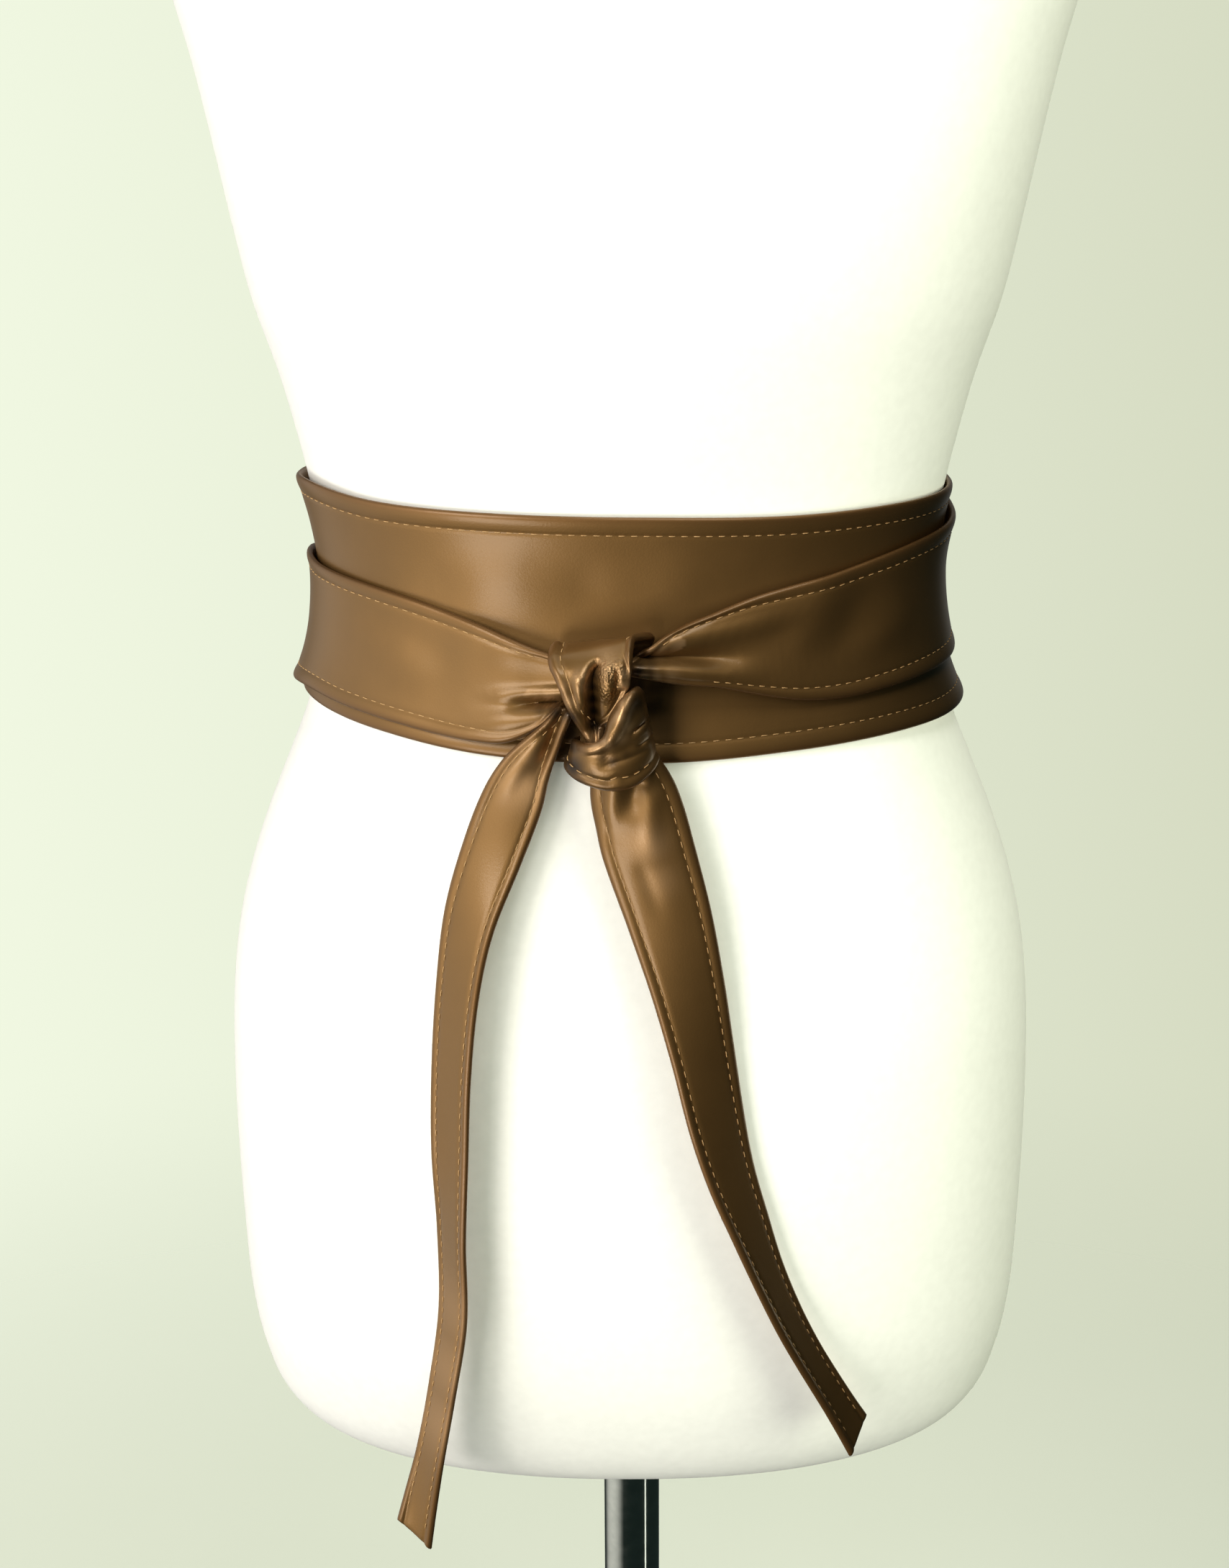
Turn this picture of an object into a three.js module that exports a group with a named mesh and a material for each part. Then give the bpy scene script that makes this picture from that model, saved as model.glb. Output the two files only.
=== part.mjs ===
// A leather obi belt, wound and tied on a limbless dress form on a pole.
// Millimetres, +Z up. The front faces -Y, the pole stands on the Z axis and the floor is at z = 0.
// Heights in the tables are above the middle of the belt. Angles are in degrees round the form,
// 0 at the front and positive towards +X.
import * as THREE from "three";

// Driving sizes
const beltMiddle = 1060; // height of the middle of the belt above the floor
const leather = 2.4; // doubled leather
const onForm = 0.9; // clearance of the first layer from the form
const layerGap = 0.7; // clearance between two layers
const seam = 0.3; // gap where two pieces meet
const seamAngle = 112; // where the ties are sewn to the front panel, left and right
const sectionPower = 2.25; // 2 gives an ellipse, more gives squarer sides
const poleRadius = 12.7;
const poleSocket = 60; // how far the pole reaches into the form
const baseRadius = 170;
const basePlate = 8;
const baseBoss = 16;
const floorSocket = 10; // depth of the hole in the boss of the base

// Layers, as the distance of a wall's inner face from the form
const first = onForm;
const second = first + leather + layerGap;

// Sections of the dress form, from the underside to the top of the neck
const formSections = [
  { z: -380, half: 70, front: 44, back: 43 },
  { z: -377, half: 112, front: 65, back: 63 },
  { z: -370, half: 141, front: 83, back: 80 },
  { z: -356, half: 157, front: 97, back: 94 },
  { z: -334, half: 165, front: 108, back: 105 },
  { z: -308, half: 169, front: 116, back: 114 },
  { z: -278, half: 170.5, front: 120.5, back: 120 },
  { z: -240, half: 171.5, front: 122.5, back: 124 },
  { z: -205, half: 171.5, front: 122, back: 125 },
  { z: -170, half: 170, front: 120, back: 122 },
  { z: -142, half: 166.5, front: 116, back: 116 },
  { z: -117, half: 160.5, front: 112, back: 109 },
  { z: -92, half: 152, front: 108, back: 102 },
  { z: -70, half: 143, front: 104.5, back: 96 },
  { z: -46, half: 133.5, front: 101.5, back: 91.5 },
  { z: -20, half: 127, front: 95, back: 88 },
  { z: 10, half: 124, front: 91, back: 86 },
  { z: 30, half: 126, front: 91, back: 86 },
  { z: 48, half: 129.5, front: 93.5, back: 87 },
  { z: 62, half: 132.5, front: 97, back: 89 },
  { z: 90, half: 139.5, front: 105, back: 93 },
  { z: 120, half: 149, front: 113, back: 98 },
  { z: 150, half: 155.5, front: 118, back: 103 },
  { z: 180, half: 161.5, front: 119, back: 107 },
  { z: 210, half: 168, front: 116, back: 109 },
  { z: 240, half: 176, front: 111, back: 109 },
  { z: 270, half: 182.5, front: 102, back: 104 },
  { z: 295, half: 185, front: 91, back: 95 },
  { z: 315, half: 181, front: 80, back: 85 },
  { z: 332, half: 166, front: 70, back: 76 },
  { z: 346, half: 141, front: 62, back: 69 },
  { z: 358, half: 110, front: 56, back: 63 },
  { z: 368, half: 82, front: 52, back: 58 },
  { z: 380, half: 64, front: 49, back: 54 },
  { z: 396, half: 57, front: 47, back: 51 },
  { z: 422, half: 54.5, front: 46, back: 49 },
  { z: 450, half: 53, front: 45, back: 48 },
];

// Edges of the front panel, by angle, and how far each edge stands off the form
const panelEdges = [
  { angle: -112, top: 47, low: -41, topFlare: 0, lowFlare: 0.6 },
  { angle: -90, top: 50, low: -40, topFlare: 1.4, lowFlare: 0.8 },
  { angle: -70, top: 52, low: -39, topFlare: 1.8, lowFlare: 0.4 },
  { angle: -45, top: 48.5, low: -41.5, topFlare: 0.4, lowFlare: 0 },
  { angle: -20, top: 47, low: -46, topFlare: 0, lowFlare: 0 },
  { angle: 3, top: 46, low: -47.5, topFlare: 0, lowFlare: 0 },
  { angle: 25, top: 45, low: -45.5, topFlare: 0, lowFlare: 0 },
  { angle: 48, top: 45.5, low: -44.5, topFlare: 0, lowFlare: 0.6 },
  { angle: 68, top: 45.5, low: -45, topFlare: 0, lowFlare: 2.6 },
  { angle: 90, top: 45.5, low: -45.5, topFlare: 0, lowFlare: 3.4 },
  { angle: 112, top: 45, low: -46, topFlare: 0, lowFlare: 0.8 },
];

// The tie sewn to the panel's left end. Its turn is measured leftwards from the front, so that it
// crosses the back at 180, comes round the right side at 270 and reaches the knot near 360.
// lift is the layer it lies in, from 0 on the form to 1 over another piece, and more over more.
const leftTie = [
  { turn: 112, top: 47, low: -41, lift: 0, topFlare: 0, lowFlare: 0.6 },
  { turn: 130, top: 46, low: -35, lift: 0, topFlare: 0, lowFlare: 0 },
  { turn: 148, top: 45, low: -29, lift: 0, topFlare: 0, lowFlare: 0 },
  { turn: 158, top: 45, low: -25.5, lift: 0.35, topFlare: 0, lowFlare: 0 },
  { turn: 172, top: 45, low: -21, lift: 1, topFlare: 0, lowFlare: 0 },
  { turn: 195, top: 46, low: -17, lift: 1, topFlare: 0, lowFlare: 0 },
  { turn: 215, top: 46, low: -16, lift: 1, topFlare: 0, lowFlare: 0 },
  { turn: 240, top: 42, low: -18.5, lift: 1, topFlare: 0.4, lowFlare: 0.5 },
  { turn: 270, top: 34.5, low: -24, lift: 1, topFlare: 1.2, lowFlare: 1.2 },
  { turn: 300, top: 30, low: -25.5, lift: 1, topFlare: 0.4, lowFlare: 1 },
  { turn: 314, top: 26, low: -27, lift: 1, topFlare: 0, lowFlare: 0.4 },
  { turn: 324, top: 22, low: -28, lift: 1.05, topFlare: 0, lowFlare: 0 },
  { turn: 333, top: 18.6, low: -27, lift: 1.2, topFlare: 0, lowFlare: 0 },
  { turn: 341, top: 14.7, low: -23.5, lift: 1.5, topFlare: 0, lowFlare: 0 },
  { turn: 348, top: 9.1, low: -19.5, lift: 2.1, topFlare: 0, lowFlare: 0 },
  { turn: 353.5, top: 4, low: -18, lift: 2.9, topFlare: 0, lowFlare: 0 },
  { turn: 358.5, top: -4.6, low: -15.2, lift: 3.7, topFlare: 0, lowFlare: 0 },
  { turn: 360.6, top: -9.5, low: -13.6, lift: 3.9, topFlare: 0, lowFlare: 0 },
];

// The tie sewn to the panel's right end. Its turn is measured rightwards from the front. Low on the
// back it leaves from under the other tie's lower edge and comes round the left side over it.
const rightTie = [
  { turn: 112, top: 45, low: -46, lift: 0, topFlare: 0, lowFlare: 0.8 },
  { turn: 130, top: 39, low: -48, lift: 0, topFlare: 0, lowFlare: 0 },
  { turn: 150, top: 22, low: -52, lift: 0, topFlare: 0, lowFlare: 0 },
  { turn: 165, top: 2, low: -58, lift: 0, topFlare: 0, lowFlare: 0 },
  { turn: 178, top: -14, low: -64, lift: 0, topFlare: 0, lowFlare: 0 },
  { turn: 190, top: -22.2, low: -68, lift: 0.1, topFlare: 0, lowFlare: 0 },
  { turn: 195.5, top: -24, low: -68.8, lift: 0.6, topFlare: 0, lowFlare: 0 },
  { turn: 201, top: -26.4, low: -69, lift: 1.05, topFlare: 0, lowFlare: 0 },
  { turn: 206, top: -26.2, low: -68, lift: 1.25, topFlare: 0, lowFlare: 0 },
  { turn: 212, top: -22, low: -66, lift: 1.35, topFlare: 0, lowFlare: 0 },
  { turn: 226, top: -8, low: -59, lift: 1.2, topFlare: 0, lowFlare: 0 },
  { turn: 246, top: 7, low: -49, lift: 1, topFlare: 0.4, lowFlare: 0.8 },
  { turn: 270, top: 18.5, low: -39.5, lift: 1, topFlare: 1, lowFlare: 2.6 },
  { turn: 290, top: 17.6, low: -34, lift: 1, topFlare: 0.6, lowFlare: 2.4 },
  { turn: 308, top: 15.3, low: -35.5, lift: 1, topFlare: 0, lowFlare: 0.6 },
  { turn: 320, top: 12.3, low: -37.5, lift: 1.05, topFlare: 0, lowFlare: 0 },
  { turn: 329, top: 8.5, low: -39.5, lift: 1.2, topFlare: 0, lowFlare: 0 },
  { turn: 337, top: 4, low: -41, lift: 2, topFlare: 0, lowFlare: 0 },
  { turn: 343, top: -0.8, low: -40.6, lift: 2.6, topFlare: 0, lowFlare: 0 },
  { turn: 348, top: -5, low: -35, lift: 2.8, topFlare: 0, lowFlare: 0 },
  { turn: 353.5, top: -8.5, low: -23.5, lift: 3.4, topFlare: 0, lowFlare: 0 },
];
const sideSplit = 255; // turn where a tie's back stretch ends and its front wrap begins

// Middle line of the hanging tails. turn rolls the strap about its length so that its right edge
// comes forward when it is positive, and dish bows it forward in the middle.
const leftTail = [
  { z: -24, x: -23, y: -111, width: 5, turn: 0, dish: 0.4 },
  { z: -34, x: -29.8, y: -111.1, width: 10.5, turn: 4, dish: 0.6 },
  { z: -47, x: -38.6, y: -111.8, width: 19, turn: 9, dish: 1 },
  { z: -58, x: -43.6, y: -112.6, width: 23.5, turn: 12, dish: 1.4 },
  { z: -78, x: -51.6, y: -114.6, width: 25, turn: 22, dish: 1.5 },
  { z: -104, x: -60.8, y: -119.5, width: 24.5, turn: 36, dish: 1 },
  { z: -130, x: -65.6, y: -124, width: 23.5, turn: 44, dish: 0.5 },
  { z: -162, x: -68.6, y: -128, width: 22.5, turn: 46, dish: 0 },
  { z: -198, x: -70, y: -130, width: 21.2, turn: 46, dish: -0.5 },
  { z: -231, x: -70, y: -131, width: 20, turn: 55, dish: 0 },
  { z: -265, x: -70.2, y: -131.5, width: 18.5, turn: 52, dish: 0.6 },
  { z: -298, x: -75.2, y: -131.5, width: 17.2, turn: 52, dish: 0.4 },
  { z: -330, x: -81.2, y: -130.5, width: 16.2, turn: 48, dish: 0 },
  { z: -352, x: -85.8, y: -129.5, width: 15.5, turn: 34, dish: -0.4 },
  { z: -366, x: -88.6, y: -129, width: 15, turn: 20, dish: -0.6 },
];
const rightTail = [
  { z: -41, x: -3.6, y: -110.9, width: 20, turn: 3, dish: 4.8 },
  { z: -47, x: -1.4, y: -110.5, width: 27, turn: 3, dish: 6.1 },
  { z: -56, x: 1.3, y: -110.9, width: 32.5, turn: 3, dish: 6.2 },
  { z: -66, x: 4.2, y: -112.8, width: 34.4, turn: 2, dish: 5 },
  { z: -77, x: 7, y: -115.2, width: 35, turn: 0, dish: 3.8 },
  { z: -103, x: 15, y: -119.8, width: 32.5, turn: -3, dish: 2.6 },
  { z: -130, x: 22.1, y: -124, width: 28.9, turn: -12, dish: 1.8 },
  { z: -155, x: 27.6, y: -127.4, width: 26.9, turn: -24, dish: 1.2 },
  { z: -184, x: 33.4, y: -129.6, width: 25.8, turn: -34, dish: 1 },
  { z: -206, x: 39, y: -130, width: 23.7, turn: -40, dish: 0.6 },
  { z: -228, x: 46.5, y: -129.6, width: 21.2, turn: -45, dish: 0.2 },
  { z: -250, x: 54.3, y: -128.2, width: 18.8, turn: -50, dish: -0.4 },
  { z: -271, x: 62.9, y: -126, width: 17.8, turn: -54, dish: -0.6 },
  { z: -289, x: 71.5, y: -123.4, width: 16.6, turn: -56, dish: -0.6 },
  { z: -308, x: 81.6, y: -120.6, width: 15.4, turn: -57, dish: -0.5 },
  { z: -328, x: 92.2, y: -117.5, width: 14, turn: -57, dish: -0.4 },
];
const leftTailSlant = -9; // the right corner of the cut hangs lower
const rightTailSlant = 10; // the left corner hangs lower
const cutPower = 12; // how quickly the slant dies away up the tail

// The fold of the knot, from behind, over the top and down the front. Each row runs from the
// fold's left edge to its right edge; y is the depth of the row and puff its crown forward.
const foldRows = [
  { xLeft: -25, zLeft: -10, xRight: 6.4, zRight: -7.5, y: -98, puff: 0 },
  { xLeft: -28, zLeft: -3.4, xRight: 9.4, zRight: -1, y: -99.2, puff: 0 },
  { xLeft: -29.4, zLeft: -1.8, xRight: 9.4, zRight: 2.2, y: -104.2, puff: 0 },
  { xLeft: -30, zLeft: -4, xRight: 3.2, zRight: 3.2, y: -111.4, puff: 0.2 },
  { xLeft: -29.2, zLeft: -7.2, xRight: 1.8, zRight: 0.2, y: -116.4, puff: 0.6 },
  { xLeft: -27.8, zLeft: -9.6, xRight: 1.6, zRight: -4, y: -118.8, puff: 1.4 },
  { xLeft: -26, zLeft: -13.5, xRight: 1, zRight: -8.5, y: -119.8, puff: 2 },
  { xLeft: -23.8, zLeft: -19.5, xRight: -0.4, zRight: -14.5, y: -119.6, puff: 2 },
  { xLeft: -20.8, zLeft: -26, xRight: -4, zRight: -21.5, y: -118.8, puff: 1.4 },
  { xLeft: -17.4, zLeft: -31.6, xRight: -8.4, zRight: -28.5, y: -118, puff: 0.7 },
  { xLeft: -15.2, zLeft: -36.5, xRight: -9.6, zRight: -35, y: -118, puff: 0.2 },
];
const foldLean = 1.4; // how far its right side stands forward of its middle
const foldCrease = { across: 0.54, halfWidth: 0.13, depth: 3.6 };
const foldBump = { across: 0.77, halfWidth: 0.2, height: 1.6 };
const foldFront = { from: 0.42, to: 0.6, middle: 0.72, reach: 0.3 }; // where both stand, along it

// The band of the knot, round the root of the right tail, from its left end over the front to its
// right end. Each row gives the band's top edge and its lower edge.
const bandRows = [
  { xTop: -18.6, yTop: -110, zTop: -35, xLow: -20.5, yLow: -109.6, zLow: -43.5 },
  { xTop: -20.2, yTop: -115, zTop: -34.4, xLow: -23, yLow: -114.5, zLow: -46 },
  { xTop: -17, yTop: -121, zTop: -34, xLow: -19.5, yLow: -120.5, zLow: -48.4 },
  { xTop: -12.4, yTop: -124.4, zTop: -33, xLow: -13, yLow: -124, zLow: -50.4 },
  { xTop: -8.6, yTop: -125.8, zTop: -29.6, xLow: -6.5, yLow: -125.4, zLow: -51.4 },
  { xTop: -6.4, yTop: -126.4, zTop: -22, xLow: -1, yLow: -125.4, zLow: -50.8 },
  { xTop: -2, yTop: -125.6, zTop: -15.6, xLow: 4, yLow: -123.6, zLow: -49 },
  { xTop: 2.6, yTop: -122, zTop: -12.8, xLow: 8.4, yLow: -119.6, zLow: -45.6 },
  { xTop: 5, yTop: -116, zTop: -16, xLow: 10.6, yLow: -114.2, zLow: -42.4 },
];
const bandPuff = 2; // how far the band swells between its edges

// Gathers where the wraps run into the knot, as ridges across the strap
const gather = { ridges: 2.5, depth: 2.6, reach: 26 };

const leatherFinish = new THREE.MeshStandardMaterial({ color: 0x8d6840, roughness: 0.42, metalness: 0 });
const formFinish = new THREE.MeshStandardMaterial({ color: 0xf5f5f0, roughness: 0.65, metalness: 0 });
const chromeFinish = new THREE.MeshStandardMaterial({ color: 0x8a8c8e, roughness: 0.15, metalness: 1 });

// The value of one column at a place between two rows, on a smooth curve through all the rows
function columnAt(rows, along, column, place) {
  const last = rows.length - 1;
  const descending = rows[0][along] > rows[last][along];
  const at = (i) => (descending ? -rows[i][along] : rows[i][along]);
  const wanted = Math.min(Math.max(descending ? -place : place, at(0)), at(last));
  let i = 0;
  while (i < last - 1 && at(i + 1) < wanted) i += 1;
  const value = (k) => rows[k][column];
  const slope = (k) => {
    const before = Math.max(k - 1, 0);
    const after = Math.min(k + 1, last);
    return (value(after) - value(before)) / (at(after) - at(before));
  };
  const step = at(i + 1) - at(i);
  const s = (wanted - at(i)) / step;
  const s2 = s * s;
  const s3 = s2 * s;
  return (
    (2 * s3 - 3 * s2 + 1) * value(i) +
    (s3 - 2 * s2 + s) * step * slope(i) +
    (3 * s2 - 2 * s3) * value(i + 1) +
    (s3 - s2) * step * slope(i + 1)
  );
}

// A row between rows of a table whose rows are evenly spaced, place running from 0 to 1
function rowAt(rows, place) {
  const counted = rows.map((row, index) => ({ ...row, index }));
  const made = {};
  for (const column of Object.keys(rows[0]))
    made[column] = columnAt(counted, "index", column, place * (rows.length - 1));
  return made;
}

const radians = THREE.MathUtils.degToRad;
const mix = THREE.MathUtils.lerp;

// A point on the form: a superellipse section, deeper or shallower at the front than at the back
function formPoint(angle, height) {
  const side = Math.sin(radians(angle));
  const ahead = Math.cos(radians(angle));
  const half = columnAt(formSections, "z", "half", height);
  const depth = columnAt(formSections, "z", ahead > 0 ? "front" : "back", height);
  const rounded = (value) => Math.sign(value) * Math.abs(value) ** (2 / sectionPower);
  return new THREE.Vector3(half * rounded(side), -depth * rounded(ahead), beltMiddle + height);
}

// A point at a distance out from the form, square to its surface
function outFromForm(angle, height, out) {
  const step = 0.5;
  const round = formPoint(angle + step, height).sub(formPoint(angle - step, height));
  const rise = formPoint(angle, height + step).sub(formPoint(angle, height - step));
  return formPoint(angle, height).addScaledVector(round.cross(rise).normalize(), out);
}

function meshFrom(name, material, points, faces) {
  const geometry = new THREE.BufferGeometry().setFromPoints(points);
  let volume = 0;
  for (const [a, b, c] of faces)
    volume += points[a].dot(points[b].clone().cross(points[c]));
  geometry.setIndex(faces.flatMap(([a, b, c]) => (volume > 0 ? [a, b, c] : [a, c, b])));
  geometry.computeVertexNormals();
  const mesh = new THREE.Mesh(geometry, material);
  mesh.name = name;
  return mesh;
}

// A closed wall: place(along, across, face) gives its points, along and across from 0 to 1,
// face 0 inside and 1 outside
function wall(name, steps, strips, place) {
  const points = [];
  const faces = [];
  const at = (face, i, j) => (face * (steps + 1) + i) * (strips + 1) + j;
  for (const face of [0, 1])
    for (let i = 0; i <= steps; i += 1)
      for (let j = 0; j <= strips; j += 1) points.push(place(i / steps, j / strips, face));
  const quad = (a, b, c, d) => faces.push([a, b, c], [a, c, d]);
  for (let i = 0; i < steps; i += 1)
    for (let j = 0; j < strips; j += 1) {
      quad(at(1, i, j), at(1, i + 1, j), at(1, i + 1, j + 1), at(1, i, j + 1));
      quad(at(0, i, j), at(0, i, j + 1), at(0, i + 1, j + 1), at(0, i + 1, j));
    }
  for (let i = 0; i < steps; i += 1) {
    quad(at(0, i, 0), at(0, i + 1, 0), at(1, i + 1, 0), at(1, i, 0));
    quad(at(0, i, strips), at(1, i, strips), at(1, i + 1, strips), at(0, i + 1, strips));
  }
  for (let j = 0; j < strips; j += 1) {
    quad(at(0, 0, j), at(1, 0, j), at(1, 0, j + 1), at(0, 0, j + 1));
    quad(at(0, steps, j), at(0, steps, j + 1), at(1, steps, j + 1), at(1, steps, j));
  }
  return meshFrom(name, leatherFinish, points, faces);
}

// A wall whose middle surface is middle(along, across): half the leather lies on each side of it
function wallAbout(name, steps, strips, middle) {
  const step = 0.002;
  const clamp = (value) => THREE.MathUtils.clamp(value, 0, 1);
  return wall(name, steps, strips, (along, across, face) => {
    const down = middle(clamp(along + step), across).sub(middle(clamp(along - step), across));
    const over = middle(along, clamp(across + step)).sub(middle(along, clamp(across - step)));
    const out = down.cross(over).normalize();
    return middle(along, across).addScaledVector(out, (face - 0.5) * leather);
  });
}

// How far the edges of a stretch stand off, fading towards its middle
function flareAt(rows, along, place, across) {
  const top = columnAt(rows, along, "topFlare", place);
  const low = columnAt(rows, along, "lowFlare", place);
  const fade = (share) => Math.max(2 * share - 1, 0) ** 2;
  return top * fade(across) + low * fade(1 - across);
}

function frontPanel() {
  const ends = seamAngle - angleOf(seam / 2);
  return wall("front_panel", 46, 6, (along, across, face) => {
    const angle = mix(-ends, ends, along);
    const low = columnAt(panelEdges, "angle", "low", angle);
    const top = columnAt(panelEdges, "angle", "top", angle);
    const out = first + flareAt(panelEdges, "angle", angle, across) + face * leather;
    return outFromForm(angle, mix(low, top, across), out);
  });
}

// The angle that a short length takes at the sides of the form
function angleOf(length) {
  const sideRadius = 120;
  return THREE.MathUtils.radToDeg(length / sideRadius);
}

// A stretch of a tie between two turns; side is -1 for the left tie and 1 for the right tie
function tieStretch(name, rows, side, from, to, steps) {
  const knotTurn = rows[rows.length - 1].turn;
  return wall(name, steps, 6, (along, across, face) => {
    const turn = mix(from, to, along);
    const low = columnAt(rows, "turn", "low", turn);
    const top = columnAt(rows, "turn", "top", turn);
    const lift = columnAt(rows, "turn", "lift", turn);
    const near = THREE.MathUtils.smoothstep(turn, knotTurn - gather.reach, knotTurn);
    const ridge = 0.5 - 0.5 * Math.cos(2 * Math.PI * gather.ridges * across);
    const inner = mix(first, second, lift) + flareAt(rows, "turn", turn, across);
    const out = inner + gather.depth * near * ridge + face * leather;
    return outFromForm(side * turn, mix(low, top, across), out);
  });
}

// A hanging tail, from its root in the knot to its cut end
function tail(name, rows, slant, steps) {
  const top = rows[0].z;
  const end = rows[rows.length - 1].z;
  return wallAbout(name, steps, 4, (along, across) => {
    const height = mix(top, end, along);
    const value = (column) => columnAt(rows, "z", column, height);
    const slope = (columnAt(rows, "z", "x", height - 1) - columnAt(rows, "z", "x", height + 1)) / 2;
    const lean = Math.atan(slope);
    const roll = radians(value("turn"));
    const offset = (across - 0.5) * value("width");
    const sideways = new THREE.Vector3(
      Math.cos(roll) * Math.cos(lean),
      -Math.sin(roll),
      Math.cos(roll) * Math.sin(lean),
    );
    const bow = value("dish") * (1 - (2 * across - 1) ** 2);
    const cut = along ** cutPower * slant * (across - 0.5);
    return new THREE.Vector3(value("x"), value("y") - bow, beltMiddle + height)
      .addScaledVector(sideways, offset)
      .add(new THREE.Vector3(0, 0, cut));
  });
}

// A smooth hump that is 1 at its middle and 0 beyond its half width
function hump(place, middle, halfWidth) {
  const away = Math.min(Math.abs(place - middle) / halfWidth, 1);
  return 0.5 + 0.5 * Math.cos(Math.PI * away);
}

function knotFold() {
  return wallAbout("knot_fold", 20, 10, (along, across) => {
    const row = rowAt(foldRows, along);
    const front = THREE.MathUtils.smoothstep(along, foldFront.from, foldFront.to);
    const crease = foldCrease.depth * hump(across, foldCrease.across, foldCrease.halfWidth);
    const bump = foldBump.height * hump(across, foldBump.across, foldBump.halfWidth);
    const crown = row.puff * (1 - (2 * across - 1) ** 2);
    const share = front * hump(along, foldFront.middle, foldFront.reach);
    const lean = THREE.MathUtils.smoothstep(along, 0.3, 0.5) * foldLean * (2 * across - 1);
    const forward = crown + lean + share * (bump - crease);
    return new THREE.Vector3(
      mix(row.xLeft, row.xRight, across),
      row.y - forward,
      beltMiddle + mix(row.zLeft, row.zRight, across),
    );
  });
}

function knotBand() {
  return wallAbout("knot_band", 20, 6, (along, across) => {
    const row = rowAt(bandRows, along);
    const swell = bandPuff * (1 - (2 * across - 1) ** 2);
    return new THREE.Vector3(
      mix(row.xLow, row.xTop, across),
      mix(row.yLow, row.yTop, across) - swell,
      beltMiddle + mix(row.zLow, row.zTop, across),
    );
  });
}

// The torso with the pole's socket in its flat underside, as rings from the socket's end round to
// the top of the neck
function formTorso() {
  const around = 48;
  const points = [];
  const faces = [];
  const ring = (point) => {
    for (let k = 0; k < around; k += 1) points.push(point((360 * k) / around));
  };
  const socketRadius = poleRadius + seam;
  const underside = formSections[0].z;
  const circle = (height) => (angle) =>
    new THREE.Vector3(
      socketRadius * Math.sin(radians(angle)),
      -socketRadius * Math.cos(radians(angle)),
      beltMiddle + height,
    );
  ring(circle(underside + poleSocket));
  ring(circle(underside));
  for (const { z } of formSections) ring((angle) => formPoint(angle, z));
  const rings = points.length / around;
  for (let i = 0; i < rings - 1; i += 1)
    for (let k = 0; k < around; k += 1) {
      const a = i * around + k;
      const b = i * around + ((k + 1) % around);
      faces.push([a, b, b + around], [a, b + around, a + around]);
    }
  const cap = (start, height, flip) => {
    const middle = points.length;
    points.push(new THREE.Vector3(0, 0, beltMiddle + height));
    for (let k = 0; k < around; k += 1) {
      const a = start + k;
      const b = start + ((k + 1) % around);
      faces.push(flip ? [middle, b, a] : [middle, a, b]);
    }
  };
  cap(0, underside + poleSocket, true);
  cap((rings - 1) * around, formSections[formSections.length - 1].z, false);
  return meshFrom("form_torso", formFinish, points, faces);
}

// A solid turned about the Z axis from a profile of radius and height that starts and ends on it
function turned(name, profile, facets) {
  const outline = profile.map(([radius, height]) => new THREE.Vector2(radius, height));
  const geometry = new THREE.LatheGeometry(outline, facets);
  geometry.rotateX(Math.PI / 2);
  const mesh = new THREE.Mesh(geometry, chromeFinish);
  mesh.name = name;
  return mesh;
}

function pole() {
  const foot = baseBoss - floorSocket + seam;
  const tip = beltMiddle + formSections[0].z + poleSocket - seam;
  const profile = [
    [0, foot],
    [poleRadius, foot],
    [poleRadius, tip],
    [0, tip],
  ];
  return turned("pole", profile, 32);
}

function base() {
  const socketRadius = poleRadius + seam;
  const socketFloor = baseBoss - floorSocket;
  const edge = 2.5;
  const profile = [
    [0, 0],
    [baseRadius - edge, 0],
    [baseRadius, edge],
    [baseRadius, basePlate - edge],
    [baseRadius - edge, basePlate],
    [poleRadius + 14, basePlate],
    [poleRadius + 8, basePlate + 2],
    [poleRadius + 6, baseBoss - 1],
    [poleRadius + 5, baseBoss],
    [socketRadius, baseBoss],
    [socketRadius, socketFloor],
    [0, socketFloor],
  ];
  return turned("base", profile, 64);
}

const belt = new THREE.Group();
const tieStart = seamAngle + angleOf(seam / 2);
const splitHalf = angleOf(seam / 2);
const leftTieEnd = leftTie[leftTie.length - 1].turn;
const rightTieEnd = rightTie[rightTie.length - 1].turn;
belt.add(
  frontPanel(),
  tieStretch("back_over", leftTie, -1, tieStart, sideSplit - splitHalf, 30),
  tieStretch("wrap_right", leftTie, -1, sideSplit + splitHalf, leftTieEnd, 28),
  tieStretch("back_under", rightTie, 1, tieStart, sideSplit - splitHalf, 36),
  tieStretch("wrap_left", rightTie, 1, sideSplit + splitHalf, rightTieEnd, 28),
  knotFold(),
  knotBand(),
  tail("tail_left", leftTail, leftTailSlant, 34),
  tail("tail_right", rightTail, rightTailSlant, 32),
);

const stand = new THREE.Group();
stand.add(formTorso(), pole(), base());

const whole = new THREE.Group();
whole.add(belt, stand);
export default whole;
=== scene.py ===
"""A doubled-leather obi belt, wound round a white dress form and tied in front.

Sizes in the tables are millimetres and meshes are made in metres. Heights are above the middle of
the belt. Angles are in degrees round the form, 0 at the front and positive towards +X.
"""
import math
from functools import partial

import bpy
import numpy as np
from mathutils import Matrix, Vector


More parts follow.
